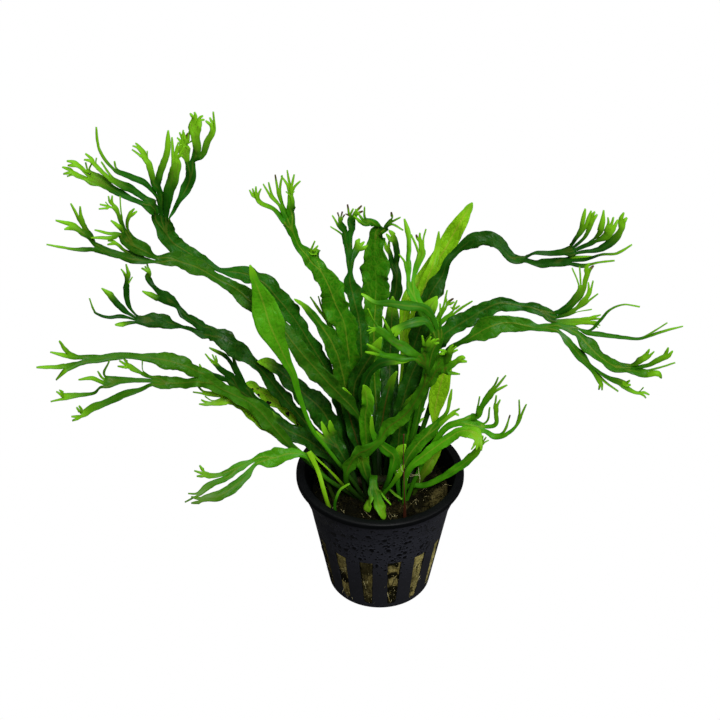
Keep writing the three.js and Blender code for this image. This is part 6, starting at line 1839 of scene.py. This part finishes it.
@dataclass
class MineralWool:
    """The plug of mineral wool, which fills the pot and shows in its slots.

    Slotted is the stretch of heights that the slots may shape. Lengths are in millimetres.
    """

    pot: NetPot
    gap: float = 0.35
    top: float = 40.0
    top_radius: float = 22.4
    eased: float = 20.5
    swell: float = 0.8
    bottom: float = 2.6
    shoulder: float = 2.0
    collar: float = 35.0
    collar_radius: float = 22.3
    collar_flare: float = 0.15
    foot_gap: float = 2.2
    around: int = 330
    layer: float = 0.7
    slotted: Pair = (2.0, 36.0)
    inset: float = 0.35

    @classmethod
    def surface(cls, x: float, y: float) -> float:
        """The height of the wool's top at a place."""
        swell = math.sin(0.31 * x + 1.1) * math.cos(0.27 * y - 0.4)
        return cls.top + cls.swell * (swell + 0.5 * math.sin(0.7 * x - 0.5 * y))

    def inner_radius(self, height: float) -> float:
        """How far the wool reaches behind the pot's bars."""
        return self.pot.wall_radius(height) - self.pot.wall - self.gap

    def slot_share(self, angle: float, height: float, inset: float) -> float:
        """How far inside a slot a place on the wall is: 1 in its middle and 0 at its edge.

        Args:
            angle: The place's direction from the axis, in radians.
            height: Its height.
            inset: How much wider than the slot the wool counts it.

        Returns:
            A share from 0 to 1.
        """
        pitch = 2 * math.pi / self.pot.slots
        turn = (angle + math.pi / 2) / pitch - 0.5
        off = abs(turn - round(turn)) * pitch * self.inner_radius(height)
        share = (height - self.pot.slot_bottom) / (self.pot.slot_top - self.pot.slot_bottom)
        half = mix(self.pot.slot_width_bottom, self.pot.slot_width_top, share) / 2 + inset
        ends = min(height - self.pot.slot_bottom, self.pot.slot_top - height) + inset
        return smooth(half - off, 0, 0.7) * smooth(ends, 0, 0.7)

    def outline(self) -> list[Pair]:
        """The plug's outline as radius and height, from the middle of its base to its top's."""
        base = self.pot.floor + self.gap
        high = self.top - self.shoulder
        count = round((high - self.bottom) / self.layer)
        side = [(0.0, base), (self.pot.foot_radius - self.foot_gap, base)]
        for step in range(count + 1):
            height = mix(self.bottom, high, step / count)
            above = height - self.collar
            flared = self.collar_radius + self.collar_flare * above
            side.append((self.inner_radius(height) if above < 0 else flared, height))
        rings = round(self.top_radius / self.layer)
        return side + [(self.top_radius * (1 - ring / rings), self.top) for ring in range(rings + 1)]

    def build(self, finish: Material) -> Object:
        """Spins the plug, pushes it into the slots and roughens it.

        Args:
            finish: The wool's material.

        Returns:
            The plug.
        """
        bm = spun(self.outline(), self.around)
        for vert in bm.verts:
            self.roughen(vert)
        bmesh.ops.recalc_face_normals(bm, faces=bm.faces)
        return finish_piece(bm, "mineral_wool_fibrous", finish)

    def roughen(self, vert: BMVert) -> None:
        """Moves one vertex of the plug to the lumpy surface of the wool.

        Args:
            vert: The vertex.
        """
        x, y, height = vert.co
        lump = noise.fractal(Vector((x / 3.4, y / 3.4, height / 3.4)), 1.0, 2.0, 4)
        radius = math.hypot(x, y)
        if height > self.top - 0.1:
            ease = 1 - smooth(radius, self.eased, self.top_radius) * 0.6
            vert.co.z = self.surface(x, y) + 1.1 * lump * ease
            return
        if not self.slotted[0] <= height <= self.slotted[1]:
            return
        inside = self.slot_share(math.atan2(y, x), height, self.inset)
        strands = noise.fractal(Vector((x / 1.1, y / 1.1, height / 4.2)), 1.0, 2.0, 3)
        depth = inside * (self.gap + self.pot.wall - 0.3 + 0.3 * lump + 0.25 * strands)
        behind = -0.35 * (1 - inside) + 0.15 * lump * (1 - inside)
        push = (radius + min(depth, self.gap + self.pot.wall + 0.1) + behind) / radius
        vert.co.x *= push
        vert.co.y *= push


def units(ways: np.ndarray) -> np.ndarray:
    """Directions brought to a length of 1."""
    return ways / np.linalg.norm(ways, axis=-1, keepdims=True)


@dataclass
class Fibres:
    """Thin bent fibres joined into one mesh from arrays. Lengths are in millimetres."""

    name: str
    seed: int
    joints: int = 6
    sides: int = 3
    paths: list[np.ndarray] = field(default_factory=list)
    sizes: list[np.ndarray] = field(default_factory=list)

    def __post_init__(self) -> None:
        """Starts the fibres' own row of random numbers."""
        self.dice = np.random.default_rng(self.seed)

    def scatter(self, starts: np.ndarray, ways: np.ndarray, lengths: np.ndarray, size: float,
                sway: float, sag: float = 0.0) -> None:
        """Adds bent fibres.

        Args:
            starts: Where each fibre starts.
            ways: The unit direction in which it sets out.
            lengths: How long it is.
            size: Half its thickness at its root.
            sway: How far it bends to the side, as a share of its length.
            sag: How far its end hangs down, as a share of its length.
        """
        count = len(starts)
        share = np.linspace(0, 1, self.joints)[None, :, None]
        bend = self.dice.normal(size=(count, 1, 3)) * sway
        twist = self.dice.normal(size=(count, 1, 3)) * sway * 0.5
        reach = lengths[:, None, None]
        path = (starts[:, None, :] + ways[:, None, :] * reach * share
                + bend * reach * share ** 2 + twist * reach * np.sin(share * 2 * np.pi))
        path[:, :, 2] -= sag * reach[:, :, 0] * share[:, :, 0] ** 2
        self.paths.append(path)
        self.sizes.append(size * (1 - 0.65 * share[:, :, 0]) * np.ones((count, 1)))

    def build(self, finish: Material) -> Object:
        """Joins the fibres into one mesh.

        Args:
            finish: Their material.

        Returns:
            The piece.
        """
        path, size = np.concatenate(self.paths), np.concatenate(self.sizes)
        count = len(path)
        along = units(np.gradient(path, axis=1))
        side = units(np.cross(along, self.dice.normal(size=(count, 1, 3))))
        over = np.cross(along, side)
        turns = np.arange(self.sides) * 2 * np.pi / self.sides
        ring = (side[:, :, None] * np.cos(turns)[None, None, :, None]
                + over[:, :, None] * np.sin(turns)[None, None, :, None])
        verts = (path[:, :, None] + size[:, :, None, None] * ring).reshape(-1, 3) * MM
        each = np.arange(self.sides)
        base = (np.arange(count)[:, None, None] * self.joints
                + np.arange(self.joints - 1)[None, :, None]) * self.sides
        one, other = base + each, base + (each + 1) % self.sides
        walls = np.stack([one, other, other + self.sides, one + self.sides], axis=-1).reshape(-1, 4)
        first = np.arange(count)[:, None] * self.joints * self.sides
        roots = first + each[::-1]
        ends = first + (self.joints - 1) * self.sides + each
        mesh = bpy.data.meshes.new(self.name)
        mesh.from_pydata(verts.tolist(), [], walls.tolist() + roots.tolist() + ends.tolist())
        return smooth_piece(mesh, self.name, finish)


@dataclass
class WoolFibres:
    """One kind of loose fibre of the wool, in its slots and over its top.

    Size is half a fibre's thickness, and rim is how far the strands stay from the ends of a slot.
    Lengths are in millimetres.
    """

    wool: MineralWool
    name: str
    seed: int
    size: float
    in_slots: int
    on_top: int
    strands: int = 60
    lengths: Pair = (0.9, 2.6)
    strand_lengths: Pair = (4.0, 11.0)
    top_lengths: Pair = (1.2, 4.0)
    top_reach: float = 22.0
    rim: float = 0.3

    def in_slot(self, dice: np.random.Generator, count: int, depth: float) -> tuple[np.ndarray, np.ndarray]:
        """Places on the wool inside the slots, and the way out of the pot at each.

        Args:
            dice: The row of random numbers.
            count: How many places.
            depth: How far inside the wall they lie.

        Returns:
            The places and the unit directions.
        """
        pot = self.wool.pot
        height = dice.uniform(pot.slot_bottom + 0.6, pot.slot_top - 0.6, count)
        share = (height - pot.slot_bottom) / (pot.slot_top - pot.slot_bottom)
        half = (pot.slot_width_bottom + (pot.slot_width_top - pot.slot_width_bottom) * share) / 2
        radius = pot.foot_radius + (pot.waist_radius - pot.foot_radius) * height / self.wool.collar - depth
        which = dice.integers(0, pot.slots, count)
        angle = (-90 + (which + 0.5) * 360 / pot.slots) * math.pi / 180
        angle = angle + dice.uniform(-0.8, 0.8, count) * half / radius
        out = np.stack([np.cos(angle), np.sin(angle), np.zeros(count)], axis=1)
        place = out * radius[:, None]
        place[:, 2] = height
        return place, out

    def fill(self, fibres: Fibres) -> None:
        """Lays short fibres over the wool in the slots.

        Args:
            fibres: What they are added to.
        """
        dice, count = fibres.dice, self.in_slots
        place, out = self.in_slot(dice, count, 0.9)
        way = dice.normal(size=(count, 3))
        way[:, 2] *= 1.6
        way -= out * (way * out).sum(axis=1, keepdims=True)
        way = units(way) * 0.95 + out * dice.uniform(-0.1, 0.28, count)[:, None]
        lengths = dice.uniform(*self.lengths, count)
        fibres.scatter(place - way * lengths[:, None] * 0.4, way, lengths, self.size, sway=0.16)

    def string(self, fibres: Fibres) -> None:
        """Runs long strands up the slots, which end inside them.

        Args:
            fibres: What they are added to.
        """
        dice, pot = fibres.dice, self.wool.pot
        place, out = self.in_slot(dice, self.strands, 0.75)
        across = np.cross(out, (0, 0, 1)) * dice.uniform(-0.45, 0.45, self.strands)[:, None]
        way = units(out * 0.19 + across + (0, 0, 1))
        lengths = dice.uniform(*self.strand_lengths, self.strands)
        start = place - way * lengths[:, None] * 0.5
        lift = np.maximum(pot.slot_bottom + self.rim - start[:, 2], 0) / way[:, 2]
        start += way * lift[:, None]
        room = (pot.slot_top - self.rim - start[:, 2]) / way[:, 2]
        fibres.scatter(start, way, np.minimum(lengths, room), self.size * 3.2, sway=0.05)

    def top(self, fibres: Fibres) -> None:
        """Strews fibres over the top, which lean inwards.

        Args:
            fibres: What they are added to.
        """
        dice, count = fibres.dice, self.on_top
        radius = self.top_reach * np.sqrt(dice.uniform(0, 1, count))
        angle = dice.uniform(0, 2 * math.pi, count)
        place = np.stack([radius * np.cos(angle), radius * np.sin(angle), np.zeros(count)], axis=1)
        place[:, 2] = [self.wool.surface(x, y) + 0.2 for x, y in place[:, :2]]
        way = dice.normal(size=(count, 3))
        way[:, 2] = np.abs(way[:, 2]) * 0.35
        inward = -place * np.array([1, 1, 0]) / self.top_reach
        way = units(units(way) + inward * 0.5)
        fibres.scatter(place, way, dice.uniform(*self.top_lengths, count), self.size * 1.2, sway=0.2)

    def build(self, finish: Material) -> Object:
        """Scatters the fibres and joins them into one piece.

        Args:
            finish: Their material.

        Returns:
            The piece.
        """
        fibres = Fibres(self.name, self.seed)
        self.fill(fibres)
        self.string(fibres)
        self.top(fibres)
        return fibres.build(finish)


@dataclass
class Rhizome:
    """The creeping stem that the fronds rise from. Lengths are in millimetres."""

    route: tuple[Pair, ...] = (
        (-10.6, -3.4), (-7.5, -2.2), (-4.0, -1.8), (-1.0, -1.6), (2.5, -1.8), (6.0, -1.0), (8.6, -0.2))
    height: float = 43.85
    radius: float = 1.9
    sides: int = 20
    step: float = 0.35
    hairs: int = 260
    hair: float = 0.09
    hair_lengths: Pair = (2.0, 6.5)
    hair_drop: float = 1.2
    hair_lowest: float = 41.5

    def point(self, far: float) -> tuple[Vector, Vector]:
        """A point on the stem's axis, and the direction there, from its share of the length.

        Args:
            far: The share of the stem's length.

        Returns:
            The point and the unit direction.
        """
        reach = far * (len(self.route) - 1)
        index = min(int(reach), len(self.route) - 2)
        here, there = (Vector((*self.route[at], self.height)) for at in (index, index + 1))
        return here.lerp(there, reach - index), (there - here).normalized()

    def build(self, finish: Material) -> Object:
        """Extrudes the stem ring by ring along its route.

        Args:
            finish: The stem's material.

        Returns:
            The stem.
        """
        bm = bmesh.new()
        ring = bmesh.ops.create_circle(bm, segments=self.sides, radius=1.0, cap_ends=True)["verts"]
        length = sum((Vector(there) - Vector(here)).length
                     for here, there in zip(self.route, self.route[1:]))
        steps = round(length / self.step)
        face = next(iter(bm.faces))
        self.place_ring(ring, 0.0)
        for step in range(1, steps + 1):
            made = bmesh.ops.extrude_face_region(bm, geom=[face])["geom"]
            old = face
            face = next(item for item in made if isinstance(item, BMFace))
            if step > 1:
                bmesh.ops.delete(bm, geom=[old], context="FACES_ONLY")
            self.place_ring(face.verts, step / steps)
        bmesh.ops.recalc_face_normals(bm, faces=bm.faces)
        return finish_piece(bm, "rhizome_grown", finish)

    def place_ring(self, verts: Sequence[BMVert], far: float) -> None:
        """Moves a ring of the stem to its place along the route.

        Args:
            verts: The ring's vertices.
            far: The share of the stem's length.
        """
        centre, along = self.point(far)
        side = along.cross(UP).normalized()
        over = side.cross(along)
        round_end = math.sqrt(max(1 - (2 * far - 1) ** 6, 0.02))
        for index, vert in enumerate(verts):
            angle = 2 * math.pi * index / len(verts)
            way = side * math.cos(angle) + over * math.sin(angle)
            knob = noise.fractal(centre * 0.42 + way * 0.8, 1.0, 2.0, 3)
            scale = abs(math.sin(5.5 * math.pi * far + 0.9 * math.cos(angle)))
            radius = self.radius * round_end * (0.86 + 0.16 * knob + 0.1 * scale)
            vert.co = centre + way * radius

    def rootlets(self, finish: Material) -> Object:
        """Hair-thin dark roots that run from the stem into the wool.

        Args:
            finish: Their material.

        Returns:
            The piece.
        """
        fibres = Fibres("rhizome_rootlets", 31, joints=8)
        dice = fibres.dice
        shares = dice.uniform(0.03, 0.97, self.hairs)
        starts = np.array([self.point(share)[0] for share in shares])
        angle = dice.uniform(0, 2 * math.pi, self.hairs)
        way = units(np.stack([np.cos(angle), np.sin(angle), dice.uniform(-0.5, 0.2, self.hairs)], axis=1))
        starts = starts + way * self.radius * 0.7
        starts[:, 2] = np.maximum(starts[:, 2] - self.hair_drop, self.hair_lowest)
        fibres.scatter(starts, way, dice.uniform(*self.hair_lengths, self.hairs), self.hair,
                       sway=0.14, sag=0.35)
        return fibres.build(finish)

    def pale_threads(self, finish: Material) -> Object:
        """The few pale roots that hang across the leaves at the front right.

        Args:
            finish: Their material.

        Returns:
            The piece.
        """
        fibres = Fibres("rhizome_pale_threads", 12, joints=9)
        starts, goals = (np.array([SKETCH.place(*point) for point in points]) for points in (
            ((5.4, -0.2, 9.0), (5.8, -0.8, 9.0), (12.8, 1.0, 8.0), (7.0, 2.0, 9.5), (9.0, -1.6, 9.0)),
            ((11.6, 0.4, 9.0), (12.4, -1.2, 9.0), (13.6, -3.6, 9.5), (8.2, -3.8, 10.5), (14.8, -1.8, 8.5))))
        ways = goals - starts
        fibres.scatter(starts, units(ways), np.linalg.norm(ways, axis=1), self.hair, sway=0.16)
        return fibres.build(finish)


@dataclass(frozen=True)
class Studio:
    """The white surroundings, the lamps and the camera.

    Lengths are in metres, but for the camera's lens and sensor, which are in millimetres.
    """

    lens: float = 105.0
    sensor: float = 36.0
    nearest: float = 0.01
    ambient: float = 0.16
    floor_size: float = 6.0
    floor_grey: float = 0.06
    aim: tuple[float, float, float] = (0.0, 0.0, 0.08)
    white: Colour = (1.0, 1.0, 1.0, 1.0)

    def build(self) -> None:
        """Sets up everything that is not part of the plant."""
        self.surroundings()
        self.ground()
        self.lamp("key_lamp", (0.25, -0.95, 1.15), size=0.5, power=24.0)
        self.lamp("top_lamp", (-0.2, 0.2, 1.4), size=0.6, power=8.0)
        self.lamp("side_lamp", (1.1, -0.3, 0.6), size=0.5, power=4.0)
        self.camera()

    def surroundings(self) -> None:
        """A plain white world, dimmer as a light than as a backdrop."""
        scene = bpy.context.scene
        scene.world = bpy.data.worlds.new("studio_white")
        sheet = Sheet.cleared(scene.world)
        seen = sheet.node("LightPath").outputs["Is Camera Ray"]
        power = sheet.step(seen, 0.0, 1.0, self.ambient, 1.0)
        light = sheet.node("Background", {"Color": self.white, "Strength": power})
        sheet.show(light.outputs[0], "OutputWorld")
        scene.view_settings.view_transform = "Standard"
        scene.view_settings.look = "None"

    def ground(self) -> None:
        """A floor that looks white and throws hardly any light back at the plant."""
        bm = bmesh.new()
        bmesh.ops.create_grid(bm, x_segments=1, y_segments=1, size=self.floor_size / 2 / MM)
        material = bpy.data.materials.new("studio_floor")
        sheet = Sheet.cleared(material)
        seen = sheet.node("LightPath").outputs["Is Camera Ray"]
        matt = sheet.node("BsdfDiffuse", {"Color": darker(self.white, self.floor_grey)}).outputs[0]
        bright = sheet.node("Emission", {"Color": self.white, "Strength": 1.0}).outputs[0]
        sheet.show(sheet.node("MixShader", {0: seen, 1: matt, 2: bright}).outputs[0])
        finish_piece(bm, "studio_floor", material)

    def lamp(self, name: str, place: tuple[float, float, float], size: float, power: float) -> None:
        """A square soft lamp that points at the plant.

        Args:
            name: Its name.
            place: Where it hangs.
            size: Its side.
            power: Its watts.
        """
        light = bpy.data.lights.new(name, "AREA")
        light.size = size
        light.energy = power
        lamp = linked(name, light)
        lamp.location = place
        lamp.rotation_euler = (Vector(self.aim) - Vector(place)).to_track_quat("-Z", "Y").to_euler()

    def camera(self) -> None:
        """The camera, where the photo was taken from."""
        eye = bpy.data.cameras.new("camera")
        eye.lens = self.lens
        eye.sensor_width = self.sensor
        eye.clip_start = self.nearest
        view = linked("camera", eye)
        axes = Matrix((Vector((1, 0, 0)), SKETCH.rise, SKETCH.near)).transposed()
        view.matrix_world = Matrix.Translation(SKETCH.eye() * MM) @ axes.to_4x4()
        bpy.context.scene.camera = view


def main() -> None:
    """Builds the pot, the wool, the stem and the fronds, and then the studio."""
    logging.basicConfig(level=logging.INFO, format="%(name)s: %(message)s")
    pot = NetPot()
    wool = MineralWool(pot)
    stem = Rhizome()
    settle(pot.build(PlasticFinish().material()), "net_pot")
    settle(wool.build(WoolFinish().material()), "mineral_wool")
    straw = ThreadFinish("mineral_wool", paint(196, 188, 140), paint(120, 108, 58))
    soot = ThreadFinish("mineral_wool", paint(34, 31, 12), paint(8, 7, 2))
    kinds = ((WoolFibres(wool, "wool_straw", seed=5, size=0.06, in_slots=2600, on_top=90), straw),
             (WoolFibres(wool, "wool_soot", seed=6, size=0.09, in_slots=1820, on_top=1950), soot))
    for kind, finish in kinds:
        settle(kind.build(finish.material(kind.name)), "mineral_wool")
    settle(stem.build(RhizomeFinish().material()), "rhizome")
    dark = ThreadFinish("rhizome", paint(60, 42, 24), paint(24, 16, 8))
    pale = ThreadFinish("rhizome", paint(214, 208, 170), paint(160, 150, 104))
    settle(stem.rootlets(dark.material("rootlets_dark")), "rhizome")
    settle(stem.pale_threads(pale.material("threads_pale")), "rhizome")
    finishes = {tone: finish.material() for tone, finish in LEAF_FINISHES.items()}
    for seed, (name, growth) in enumerate(FRONDS.items()):
        frond = Frond(name, growth, seed)
        settle(frond.build(finishes[growth.tone]), name)
    Studio().build()


if __name__ == "__main__":
    main()
